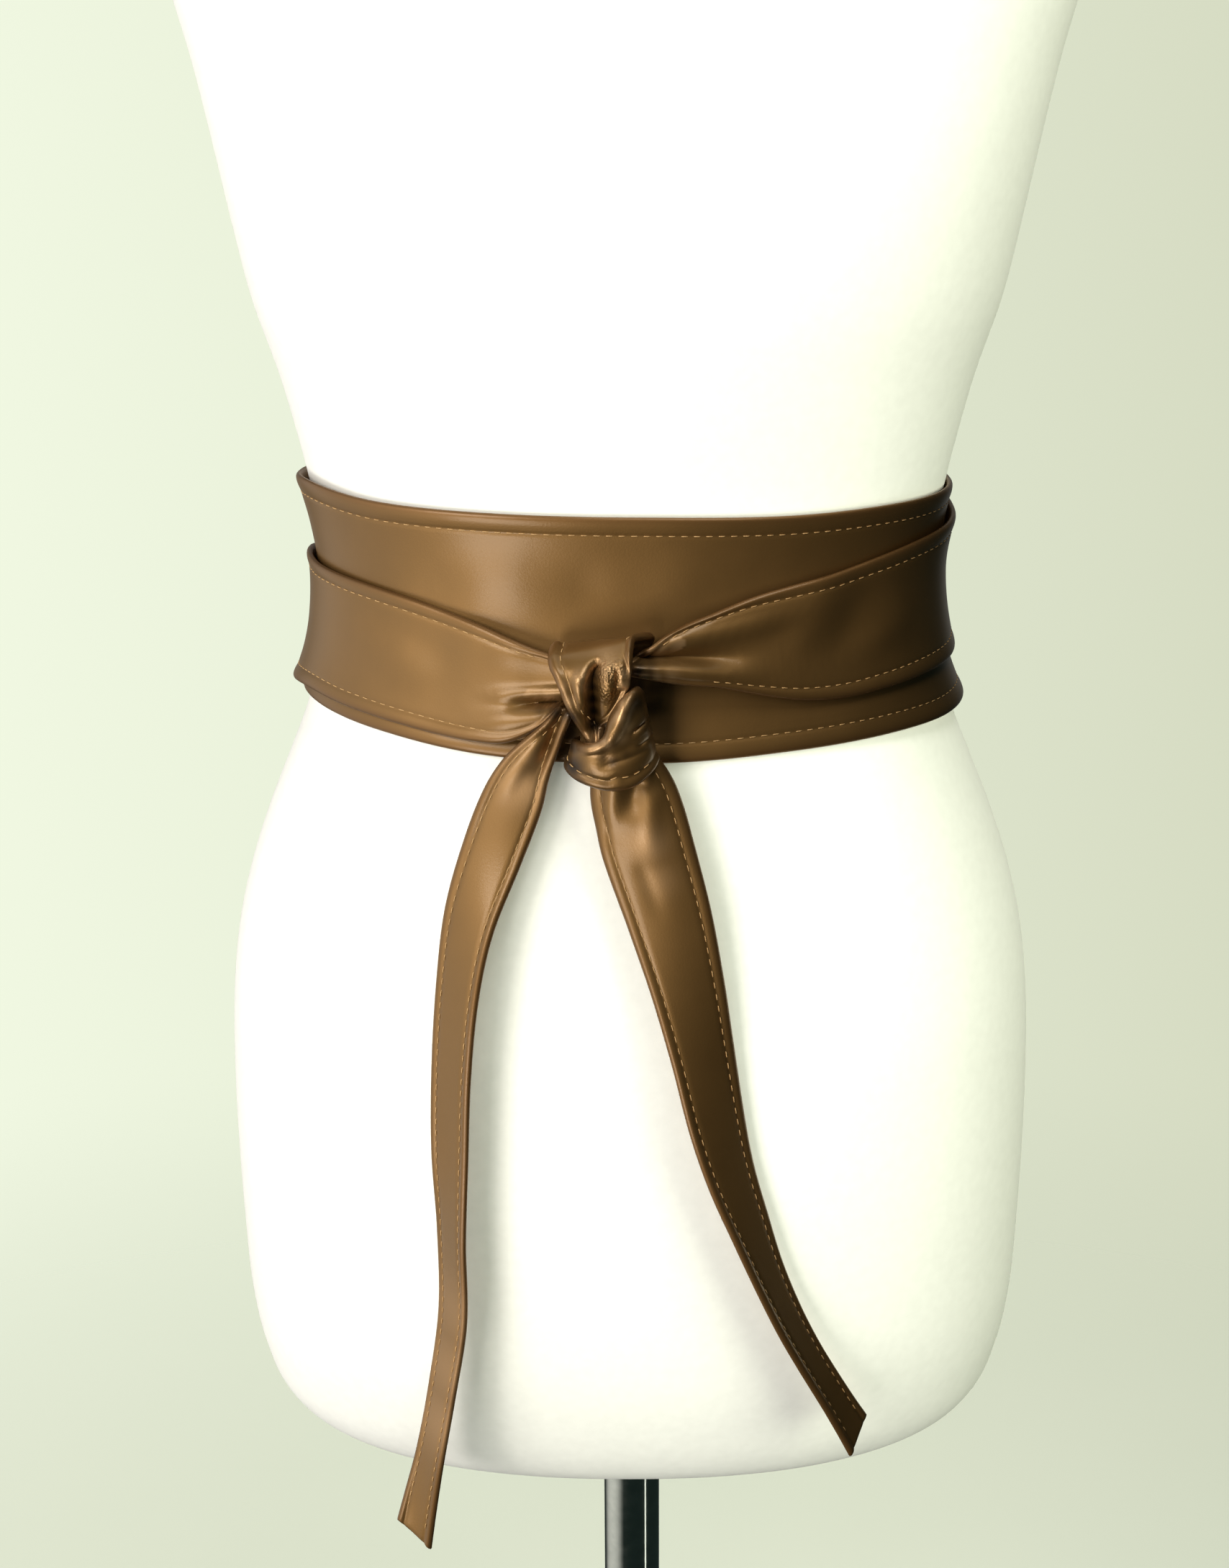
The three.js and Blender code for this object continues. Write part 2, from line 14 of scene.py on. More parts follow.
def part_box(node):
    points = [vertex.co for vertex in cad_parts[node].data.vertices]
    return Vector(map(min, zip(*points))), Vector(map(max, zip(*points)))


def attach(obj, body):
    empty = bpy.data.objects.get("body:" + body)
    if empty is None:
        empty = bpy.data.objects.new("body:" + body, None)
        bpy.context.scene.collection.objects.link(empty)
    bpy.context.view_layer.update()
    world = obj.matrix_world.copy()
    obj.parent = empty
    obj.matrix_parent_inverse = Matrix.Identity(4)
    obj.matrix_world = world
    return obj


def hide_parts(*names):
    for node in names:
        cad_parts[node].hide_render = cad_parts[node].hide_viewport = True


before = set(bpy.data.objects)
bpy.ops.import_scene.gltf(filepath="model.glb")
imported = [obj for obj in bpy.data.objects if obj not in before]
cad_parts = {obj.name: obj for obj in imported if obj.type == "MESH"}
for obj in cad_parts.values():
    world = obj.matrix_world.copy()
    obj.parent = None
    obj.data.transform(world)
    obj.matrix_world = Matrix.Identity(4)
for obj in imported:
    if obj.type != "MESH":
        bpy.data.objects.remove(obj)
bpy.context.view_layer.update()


def table(columns, *rows):
    """Rows of numbers as named columns, with the row's number as the column index."""
    made = dict(zip(columns.split(), np.array(rows, float).T))
    made["index"] = np.arange(len(rows), dtype=float)
    return made


# Sections of the dress form, from the underside to the top of the neck
FORM = table(
    "z half front back",
    (-380, 70, 44, 43), (-377, 112, 65, 63), (-370, 141, 83, 80), (-356, 157, 97, 94),
    (-334, 165, 108, 105), (-308, 169, 116, 114), (-278, 170.5, 120.5, 120),
    (-240, 171.5, 122.5, 124), (-205, 171.5, 122, 125), (-170, 170, 120, 122),
    (-142, 166.5, 116, 116), (-117, 160.5, 112, 109), (-92, 152, 108, 102),
    (-70, 143, 104.5, 96), (-46, 133.5, 101.5, 91.5), (-20, 127, 95, 88), (10, 124, 91, 86),
    (30, 126, 91, 86), (48, 129.5, 93.5, 87), (62, 132.5, 97, 89), (90, 139.5, 105, 93),
    (120, 149, 113, 98), (150, 155.5, 118, 103), (180, 161.5, 119, 107), (210, 168, 116, 109),
    (240, 176, 111, 109), (270, 182.5, 102, 104), (295, 185, 91, 95), (315, 181, 80, 85),
    (332, 166, 70, 76), (346, 141, 62, 69), (358, 110, 56, 63), (368, 82, 52, 58),
    (380, 64, 49, 54), (396, 57, 47, 51), (422, 54.5, 46, 49), (450, 53, 45, 48),
)
SECTION_POWER = 2.25  # 2 gives an ellipse, more gives squarer sides
SOCKET = 13  # radius of the hole for the pole
BELT_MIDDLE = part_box("form_torso")[0].z * 1000 - FORM["z"][0]

LEATHER = 2.4  # doubled leather
FIRST_LAYER = 0.9  # clearance of the first layer from the form
SECOND_LAYER = FIRST_LAYER + LEATHER + 0.7
SEAM_ANGLE = 112  # where the ties are sewn to the front panel, left and right
SEAM_GAP = 0.3
SEAM_RADIUS = 120  # how far the seams lie from the form's axis

# Edges of the front panel, and how far each edge stands off the form
PANEL = table(
    "turn top low topFlare lowFlare",
    (-112, 47, -41, 0, 0.6), (-90, 50, -40, 1.4, 0.8), (-70, 52, -39, 1.8, 0.4),
    (-45, 48.5, -41.5, 0.4, 0), (-20, 47, -46, 0, 0), (3, 46, -47.5, 0, 0),
    (25, 45, -45.5, 0, 0), (48, 45.5, -44.5, 0, 0.6), (68, 45.5, -45, 0, 2.6),
    (90, 45.5, -45.5, 0, 3.4), (112, 45, -46, 0, 0.8),
)

# The tie sewn to the panel's left end: over the back, round the right side and into the knot.
# lift is the layer it lies in, from 0 on the form to 1 over another piece, and more over more.
LEFT_TIE = table(
    "turn top low lift topFlare lowFlare",
    (112, 47, -41, 0, 0, 0.6), (130, 46, -35, 0, 0, 0), (148, 45, -29, 0, 0, 0),
    (158, 45, -25.5, 0.35, 0, 0), (172, 45, -21, 1, 0, 0), (195, 46, -17, 1, 0, 0),
    (215, 46, -16, 1, 0, 0), (240, 42, -18.5, 1, 0.4, 0.5), (270, 34.5, -24, 1, 1.2, 1.2),
    (300, 30, -25.5, 1, 0.4, 1), (314, 26, -27, 1, 0, 0.4), (324, 22, -28, 1.05, 0, 0),
    (333, 18.6, -27, 1.2, 0, 0), (341, 14.7, -23.5, 1.5, 0, 0), (348, 9.1, -19.5, 2.1, 0, 0),
    (353.5, 4, -18, 2.9, 0, 0), (358.5, -4.6, -15.2, 3.7, 0, 0), (360.6, -9.5, -13.6, 3.9, 0, 0),
)
# The tie sewn to the panel's right end: low over the back, round the left side, into the knot
RIGHT_TIE = table(
    "turn top low lift topFlare lowFlare",
    (112, 45, -46, 0, 0, 0.8), (130, 39, -48, 0, 0, 0), (150, 22, -52, 0, 0, 0),
    (165, 2, -58, 0, 0, 0), (178, -14, -64, 0, 0, 0), (190, -22.2, -68, 0.1, 0, 0),
    (195.5, -24, -68.8, 0.6, 0, 0), (201, -26.4, -69, 1.05, 0, 0), (206, -26.2, -68, 1.25, 0, 0),
    (212, -22, -66, 1.35, 0, 0), (226, -8, -59, 1.2, 0, 0), (246, 7, -49, 1, 0.4, 0.8),
    (270, 18.5, -39.5, 1, 1, 2.6), (290, 17.6, -34, 1, 0.6, 2.4),
    (308, 15.3, -35.5, 1, 0, 0.6), (320, 12.3, -37.5, 1.05, 0, 0), (329, 8.5, -39.5, 1.2, 0, 0),
    (337, 4, -41, 2, 0, 0), (343, -0.8, -40.6, 2.6, 0, 0), (348, -5, -35, 2.8, 0, 0),
    (353.5, -8.5, -23.5, 3.4, 0, 0),
)

# Middle line of the hanging tails; turn rolls the strap and dish bows it forward
LEFT_TAIL = table(
    "z x y width turn dish",
    (-24, -23, -111, 5, 0, 0.4), (-34, -29.8, -111.1, 10.5, 4, 0.6),
    (-47, -38.6, -111.8, 19, 9, 1), (-58, -43.6, -112.6, 23.5, 12, 1.4),
    (-78, -51.6, -114.6, 25, 22, 1.5), (-104, -60.8, -119.5, 24.5, 36, 1),
    (-130, -65.6, -124, 23.5, 44, 0.5), (-162, -68.6, -128, 22.5, 46, 0),
    (-198, -70, -130, 21.2, 46, -0.5), (-231, -70, -131, 20, 55, 0),
    (-265, -70.2, -131.5, 18.5, 52, 0.6), (-298, -75.2, -131.5, 17.2, 52, 0.4),
    (-330, -81.2, -130.5, 16.2, 48, 0), (-352, -85.8, -129.5, 15.5, 34, -0.4),
    (-366, -88.6, -129, 15, 20, -0.6),
)
RIGHT_TAIL = table(
    "z x y width turn dish",
    (-41, -3.6, -110.9, 20, 3, 4.8), (-47, -1.4, -110.5, 27, 3, 6.1),
    (-56, 1.3, -110.9, 32.5, 3, 6.2), (-66, 4.2, -112.8, 34.4, 2, 5),
    (-77, 7, -115.2, 35, 0, 3.8), (-103, 15, -119.8, 32.5, -3, 2.6),
    (-130, 22.1, -124, 28.9, -12, 1.8), (-155, 27.6, -127.4, 26.9, -24, 1.2),
    (-184, 33.4, -129.6, 25.8, -34, 1), (-206, 39, -130, 23.7, -40, 0.6),
    (-228, 46.5, -129.6, 21.2, -45, 0.2), (-250, 54.3, -128.2, 18.8, -50, -0.4),
    (-271, 62.9, -126, 17.8, -54, -0.6), (-289, 71.5, -123.4, 16.6, -56, -0.6),
    (-308, 81.6, -120.6, 15.4, -57, -0.5), (-328, 92.2, -117.5, 14, -57, -0.4),
)
LEFT_SLANT = -9  # how much lower the right corner of the cut end hangs
RIGHT_SLANT = 10

# The fold of the knot, from behind, over the top and down the front
FOLD = table(
    "xLeft zLeft xRight zRight y puff",
    (-25, -10, 6.4, -7.5, -98, 0), (-28, -3.4, 9.4, -1, -99.2, 0), (-29.4, -1.8, 9.4, 2.2, -104.2, 0),
    (-30, -4, 3.2, 3.2, -111.4, 0.2), (-29.2, -7.2, 1.8, 0.2, -116.4, 0.6),
    (-27.8, -9.6, 1.6, -4, -118.8, 1.4), (-26, -13.5, 1, -8.5, -119.8, 2),
    (-23.8, -19.5, -0.4, -14.5, -119.6, 2), (-20.8, -26, -4, -21.5, -118.8, 1.4),
    (-17.4, -31.6, -8.4, -28.5, -118, 0.7), (-15.2, -36.5, -9.6, -35, -118, 0.2),
)
# The band of the knot, round the root of the right tail: its top edge and its lower edge
BAND = table(
    "xTop yTop zTop xLow yLow zLow",
    (-18.6, -110, -35, -20.5, -109.6, -43.5), (-20.2, -115, -34.4, -23, -114.5, -46),
    (-17, -121, -34, -19.5, -120.5, -48.4), (-12.4, -124.4, -33, -13, -124, -50.4),
    (-8.6, -125.8, -29.6, -6.5, -125.4, -51.4), (-6.4, -126.4, -22, -1, -125.4, -50.8),
    (-2, -125.6, -15.6, 4, -123.6, -49), (2.6, -122, -12.8, 8.4, -119.6, -45.6),
    (5, -116, -16, 10.6, -114.2, -42.4),
)
FOLD_LEAN = 1.4  # how far the fold's right side stands forward of its middle
BAND_PUFF = 2  # how far the band swells between its edges
BAND_TUCK = 2.2  # how far its top edge turns in
TUCK_START = 0.84  # the share of its height from which it turns in

ROLL = 0.3  # how far a rolled edge swells between the edge and its stitch line
KNOT_ROLL = 0.8  # the same where the knot squeezes it
PINCH = 0.25  # how deep the stitches pull the leather in
EDGE_RADIUS = 1.5  # roundness of a cut and turned edge
STITCH_PITCH = 4.7
STITCH_LENGTH = 2.7
THREAD = 0.2  # radius of the thread
PINCH_WIDTH = 1.3  # how far either side of its line a stitch row pinches
WORN_MARGIN = 2.2  # how far in from the edges the finish is worn
CUT_POWER = 12  # higher keeps a tail's slanted cut nearer to its end

# Spacing of a mesh's points along a strap in millimetres, and how many even steps go across it
STRAP_STEP, STEPS_ACROSS = 2.4, 24
TAIL_STEP = 1.8
KNOT_STEP, KNOT_STEPS_ACROSS = 0.9, 26
FINE_TURN = 318  # from here to the knot a tie's points lie closer


def curve(rows, along, column, place):
    """A smooth curve through a table's rows: between two rows, the cubic that has at each row the
    slope of the chord between that row's two neighbours."""
    x, y = rows[along], rows[column]
    if x[0] > x[-1]:
        x, place = -x, -np.asarray(place, float)
    place = np.clip(place, x[0], x[-1])
    before = np.maximum(np.arange(len(x)) - 1, 0)
    after = np.minimum(np.arange(len(x)) + 1, len(x) - 1)
    slope = (y[after] - y[before]) / (x[after] - x[before])
    i = np.clip(np.searchsorted(x, place) - 1, 0, len(x) - 2)
    step = x[i + 1] - x[i]
    s = (place - x[i]) / step
    return (
        (2 * s**3 - 3 * s**2 + 1) * y[i]
        + (s**3 - 2 * s**2 + s) * step * slope[i]
        + (3 * s**2 - 2 * s**3) * y[i + 1]
        + (s**3 - s**2) * step * slope[i + 1]
    )


def stack(x, y, z):
    """Three arrays of coordinates as one array of points."""
    return np.stack(np.broadcast_arrays(x, y, z), axis=-1)


def unit(vectors):
    """Vectors at length one."""
    return vectors / np.maximum(np.linalg.norm(vectors, axis=-1, keepdims=True), 1e-9)


def smooth(value, start, end):
    """Rises from 0 at start to 1 at end, level at both."""
    s = np.clip((value - start) / (end - start), 0, 1)
    return s * s * (3 - 2 * s)


def hump(place, middle, half_width):
    """1 at its middle and 0 beyond its half width, along a cosine."""
    return 0.5 + 0.5 * np.cos(np.pi * np.minimum(np.abs(place - middle) / half_width, 1))


def form_point(angle, height):
    """A point on the form: each section is a superellipse, deeper at the front or at the back."""
    side, ahead = np.sin(np.radians(angle)), np.cos(np.radians(angle))
    half = curve(FORM, "z", "half", height)
    depth = np.where(
        ahead > 0, curve(FORM, "z", "front", height), curve(FORM, "z", "back", height)
    )
    rounded_side = np.sign(side) * np.abs(side) ** (2 / SECTION_POWER)
    rounded_ahead = np.sign(ahead) * np.abs(ahead) ** (2 / SECTION_POWER)
    return stack(half * rounded_side, -depth * rounded_ahead, BELT_MIDDLE + height)


def off_form(angle, height, out):
    """A point at a distance out from the form, square to its surface."""
    step = 0.5
    round_it = form_point(angle + step, height) - form_point(angle - step, height)
    up_it = form_point(angle, height + step) - form_point(angle, height - step)
    return form_point(angle, height) + unit(np.cross(round_it, up_it)) * np.asarray(out)[..., None]


def crease_rise(points, creases, side=-1):
    """How far creases lift or sink the leather at points on the front, or behind where side is 1.
    Each crease is a smooth line of (x, z) places with a rise, negative for a trough, and a width
    at each end. The rise falls off across the line as a bell curve, and fades towards the ends
    that its fades name."""
    x, z = points[..., 0], points[..., 2] - BELT_MIDDLE
    total = np.zeros_like(x)
    for rise, widths, fades, places in creases:
        line = table("x z", *places)
        t = np.linspace(0, 1, 60)
        line_x = curve(line, "index", "x", t * (len(places) - 1))
        line_z = curve(line, "index", "z", t * (len(places) - 1))
        away = np.hypot(x[..., None] - line_x, z[..., None] - line_z)
        nearest = away.argmin(axis=-1)
        at = t[nearest]
        width = widths[0] + (widths[1] - widths[0]) * at
        bell = np.exp(-((away.min(axis=-1) / width) ** 2))
        fade = smooth(at, 0, fades[0]) if fades[0] else 1
        fade = fade * (1 - smooth(at, 1 - fades[1], 1) if fades[1] else 1)
        total += rise * bell * fade * (side * points[..., 1] > 0)
    return total


# Creases: rise, widths at both ends, share of the length over which each end fades, and places
# from the knot outwards
PANEL_CREASES = [
    (0.9, (13, 15), (0.5, 0.5), [(-52, 40), (-47, 20), (-46, 0)]),
    (-0.7, (9, 11), (0.5, 0.5), [(-76, 36), (-73, 16), (-72, -4)]),
    (-0.6, (8, 12), (0.5, 0.5), [(-10, 34), (-16, 18), (-14, 6)]),
    (0.5, (10, 14), (0.5, 0.5), [(24, 36), (20, 20), (24, 6)]),
    (-0.5, (10, 12), (0.5, 0.5), [(52, 34), (50, 18), (58, 6)]),
]
LEFT_WRAP_CREASES = [
    (1.8, (1.9, 3.2), (0, 0.5), [(-20, -20), (-29, -21.2), (-42, -22.8), (-58, -24)]),
    (-3.4, (2.0, 3.4), (0, 0.5), [(-20, -24.4), (-29, -24.9), (-38, -25.6), (-46, -26.2)]),
    (1.5, (2.6, 4.5), (0, 0.6), [(-22, -30.6), (-34, -31.6), (-50, -33), (-64, -34)]),
    (0.8, (5, 9), (0, 0.6), [(-24, -8), (-38, -6), (-54, -3), (-72, 1)]),
    (0.7, (8, 13), (0.4, 0.5), [(-62, -22), (-84, -16), (-104, -8)]),
    (-0.6, (6, 10), (0.4, 0.5), [(-60, -9), (-82, -3), (-103, 4)]),
]
# Behind, for both ties
BACK_CREASES = [
    (0.9, (7, 10), (0.4, 0.5), [(-88, 22), (-60, 8), (-28, 0)]),
    (-0.6, (6, 9), (0.4, 0.5), [(-80, 32), (-52, 21), (-22, 15)]),
    (0.6, (6, 8), (0.5, 0.5), [(-84, -14), (-62, -20), (-40, -22)]),
    (0.8, (7, 11), (0.5, 0.5), [(86, -2), (54, -14), (20, -20)]),
    (-0.6, (6, 9), (0.4, 0.5), [(92, 10), (64, 2), (36, -5)]),
    (0.6, (9, 12), (0.5, 0.5), [(-16, 32), (8, 23), (34, 20)]),
    (-0.5, (7, 9), (0.5, 0.5), [(-40, -32), (-12, -27), (16, -29)]),
]
RIGHT_WRAP_CREASES = [
    (2.0, (8, 11), (0, 0.6), [(3, -13), (22, -15), (45, -17), (70, -16), (95, -10)]),
    (2.6, (1.5, 3.6), (0, 0.55), [(2, -11.4), (18, -12.8), (32, -15), (52, -17)]),
    (-2.6, (1.6, 4.6), (0, 0.5), [(2, -6.8), (18, -7.2), (34, -8), (54, -7)]),
    (1.9, (2.2, 6.5), (0, 0.5), [(5, -3.2), (22, -0.6), (42, 3), (62, 8), (80, 13)]),
    (1.2, (6, 9), (0.4, 0.4), [(52, -14), (64, -2), (72, 12), (80, 24)]),
    (-1.1, (6, 9), (0.4, 0.4), [(68, -16), (80, -4), (88, 10), (95, 20)]),
    (0.7, (5, 8), (0.4, 0.5), [(84, -12), (98, -4), (112, 8)]),
]
FOLD_CREASES = [
    (-5.8, (1.7, 2.7), (0.2, 0),
     [(-8.6, -4.4), (-11.8, -6.6), (-13.3, -11), (-13, -17), (-12.4, -28)]),
    (1.8, (1.9, 1.2), (0.3, 0.2), [(-15, -5.4), (-18.2, -10.6), (-18, -15), (-16.4, -24)]),
    (1.9, (2.6, 1.8), (0.3, 0.3), [(-8.6, -3), (-7.2, -6.4), (-7.4, -12), (-8, -19)]),
    (1.6, (1.6, 1.3), (0.3, 0.2), [(-5.4, -2.6), (-2.9, -5), (-2.2, -9), (-2.6, -14)]),
    (-0.7, (1.1, 0.9), (0.3, 0.3), [(-4.7, -5.4), (-4.4, -9), (-5, -14)]),
]
BAND_CREASES = [
    (2.6, (2.2, 2.0), (0.1, 0.1),
     [(3, -13), (-0.6, -17), (-2.6, -22.5), (-5.6, -28.6), (-11, -33), (-19, -36)]),
    (-1.5, (0.8, 1.1), (0.4, 0), [(-0.5, -29.4), (3.6, -27.2), (8, -24.4)]),
    (0.7, (0.9, 1.2), (0.4, 0), [(0.4, -31), (4.4, -28.8), (8.4, -26.4)]),
    (-1.2, (0.8, 1.0), (0.4, 0), [(1.6, -34.6), (5, -33.3), (8.8, -31)]),
    (-0.9, (1.6, 1.2), (0.4, 0.2), [(-13, -42), (-6, -40.4), (2.6, -37.4), (8, -35)]),
    (-1.4, (3.4, 3.0), (0.4, 0.4), [(-15, -39.6), (-8, -38), (0, -34), (4, -30)]),
]
LEFT_TAIL_CREASES = [
    (-3.2, (2.0, 3.0), (0, 0.5), [(-24.6, -24), (-27.2, -30), (-30.2, -38), (-33, -45), (-36, -52)]),
    (1.6, (1.3, 2.0), (0, 0.5), [(-20.8, -23), (-24.4, -31), (-27.4, -40), (-31.4, -50), (-37, -68)]),
    (1.2, (2.2, 3.4), (0.2, 0.5), [(-31, -32), (-37, -40), (-44, -50), (-50, -62)]),
]
RIGHT_TAIL_CREASES = [
    (-2.1, (3.2, 4.4), (0.1, 0.5), [(3.4, -48), (1.8, -54), (0.8, -60), (-0.6, -67)]),
    (1.0, (2.6, 4.0), (0.2, 0.5), [(9.6, -52), (8.6, -62), (8.4, -72), (10, -84)]),
    (1.3, (2.2, 3.4), (0.2, 0.5), [(-5.6, -50), (-6.6, -60), (-7, -74)]),
    (-0.5, (2.6, 3.6), (0.3, 0.5), [(3, -78), (8, -92), (13, -108)]),
]
# Places where the leather is finely wrinkled, on the front: x, z, radius and strength
CRUMPLES = [
    (-7, -7, 4.6, 0.75), (-8, -14, 4.2, 0.5), (-17.5, -10, 3.4, 0.15), (-31, -29, 6, 0.12),
    (-30, -20, 5, 0.2),
]
# Painted shade: deep hollows round the knot, darkened in the leather's colour in place of their
# shadow: x, z, radius and strength
PAINTED_SHADE_SPOTS = [
    (-12.6, -9, 1.8, 0.8), (-13.2, -13, 2.2, 1.0), (-13, -18, 2.5, 1.0), (-12.6, -23, 2.8, 1.0),
    (-12.4, -28, 3.4, 1.0), (-21.5, -25, 3.4, 1.0), (-27, -25.2, 3.0, 0.95),
    (-33, -25.6, 2.2, 0.5), (-22, -36, 3.6, 1.0), (-21, -43, 5.2, 1.0), (-19, -49, 3.8, 0.8),
    (4, -9, 3.2, 0.9), (8, -8.4, 2.6, 0.6), (4, -18, 4.0, 0.8), (10, -18, 5.0, 0.7),
    (16, -18, 5.0, 0.5), (9, -26, 6, 0.6), (13, -34, 6, 0.4), (-14.5, -45, 3.4, 0.5),
    (-9, -48, 3.0, 0.35), (-9.5, -38, 2.2, 0.5), (-5.9, -39.5, 2.6, 0.7), (-1, -37, 2.2, 0.45),
]
# Painted highlights: ridges and bends lightened in the leather's colour in place of the light they
# catch: x, z, radius and strength
PAINTED_HIGHLIGHT_SPOTS = [
    (-17.6, -8.4, 2.6, 0.75), (-16.6, -12, 2.2, 0.6), (-8, -4.4, 4.4, 0.6), (-1.8, -7, 2.2, 0.85),
    (-1.8, -11.5, 2.0, 0.8), (-24, -12, 2.0, 0.4), (-21.5, -18, 2.2, 0.5), (-1.6, -17.5, 2.4, 0.75),
    (-3, -22, 2.4, 0.7), (-12.5, -34, 2.4, 0.7), (-8, -32.5, 2.4, 0.8), (-3, -30, 2.4, 0.7),
    (6, -11.5, 1.8, 0.8), (10.5, -11.6, 2.0, 0.6), (16, -11, 3.0, 0.35), (-40, -20, 6.0, 0.35),
    (-30, -21, 3.0, 0.5), (12, -2, 3.5, 0.4), (20, -0.8, 4.5, 0.7), (28, 0.5, 5, 0.8),
    (-39.5, -53, 8, 0.6), (-36, -43, 5, 0.4), (7, -74, 7, 0.65), (11, -88, 7, 0.35),
    (-66, -262, 15, 0.3), (-70, -288, 15, 0.35), (-74, -312, 14, 0.4), (-0.7, -26, 2.2, 0.8),
]
# Each look acts only on the leather in front of its depth
CRUMPLE_FRONT, PAINTED_SHADE_FRONT, PAINTED_HIGHLIGHT_FRONT, PULL_FRONT = -112, -60, -105, -100
PULL_MIDDLE = (-9, -22)  # where the knot stretches the leather most: x, z
PULL_REACH = (17, 26)  # how far it does so, sideways and up and down


def spots_at(points, spots, front):
    """The strength of a look at points: the strongest of the bell curves of all its spots, for
    the points in front of a depth only."""
    x, z = points[..., 0], points[..., 2] - BELT_MIDDLE
    strength = np.zeros(x.shape)
    for spot_x, spot_z, radius, most in spots:
        bell = np.exp(-((x - spot_x) ** 2 + (z - spot_z) ** 2) / radius**2)
        strength = np.maximum(strength, most * bell * (points[..., 1] < front))
    return strength


def pull_at(points):
    """How far the leather is stretched smooth and shiny: a bell curve round the knot."""
    x, z = points[..., 0], points[..., 2] - BELT_MIDDLE
    aside, above = (x - PULL_MIDDLE[0]) / PULL_REACH[0], (z - PULL_MIDDLE[1]) / PULL_REACH[1]
    return np.exp(-(aside**2) - above**2) * (points[..., 1] < PULL_FRONT)


def link_mesh(name, points, faces):
    """A new smooth object in the scene from rows of points in millimetres and a list of faces."""
    mesh = bpy.data.meshes.new(name)
    mesh.from_pydata((points / 1000).tolist(), [], faces)
    mesh.polygons.foreach_set("use_smooth", [True] * len(mesh.polygons))
    made = bpy.data.objects.new(name, mesh)
    bpy.context.scene.collection.objects.link(made)
    return made


def store(obj, name, values):
    """Keeps a number for each point of a mesh, for its material to read."""
    attribute = obj.data.attributes.new(name, "FLOAT", "POINT")
    attribute.data.foreach_set("value", np.asarray(values, np.float32).ravel())


def map_flat(obj, across, along):
    """A UV map in metres: across and along the strap, for each point."""
    layer = obj.data.uv_layers.new(name="flat")
    corner = np.empty(len(obj.data.loops), int)
    obj.data.loops.foreach_get("vertex_index", corner)
    both = np.stack([np.ravel(across), np.ravel(along)], axis=1) / 1000
    layer.data.foreach_set("uv", both[corner].astype(np.float32).ravel())


def edge_round(distance, radius):
    """The quarter circle by which a wall's half thickness grows from its edge inwards."""
    return np.sqrt(1 - (1 - np.minimum(distance / radius, 1)) ** 2)


def wide_inset(width):
    """The stitch line's distance from the edge on the panel and the ties, less where they narrow."""
    return np.clip(7 * (width / 60) ** 1.3, 2.6, 7)


def tail_inset(width):
    """The stitch line's distance from the edge on the tails."""
    return np.clip(2.2 + 0.075 * width, 3, 4.8)


def even_inset(distance):
    """A rule that keeps one distance of the stitch line from its edge."""

    def inset(width):
        return np.full_like(width, distance)

    return inset


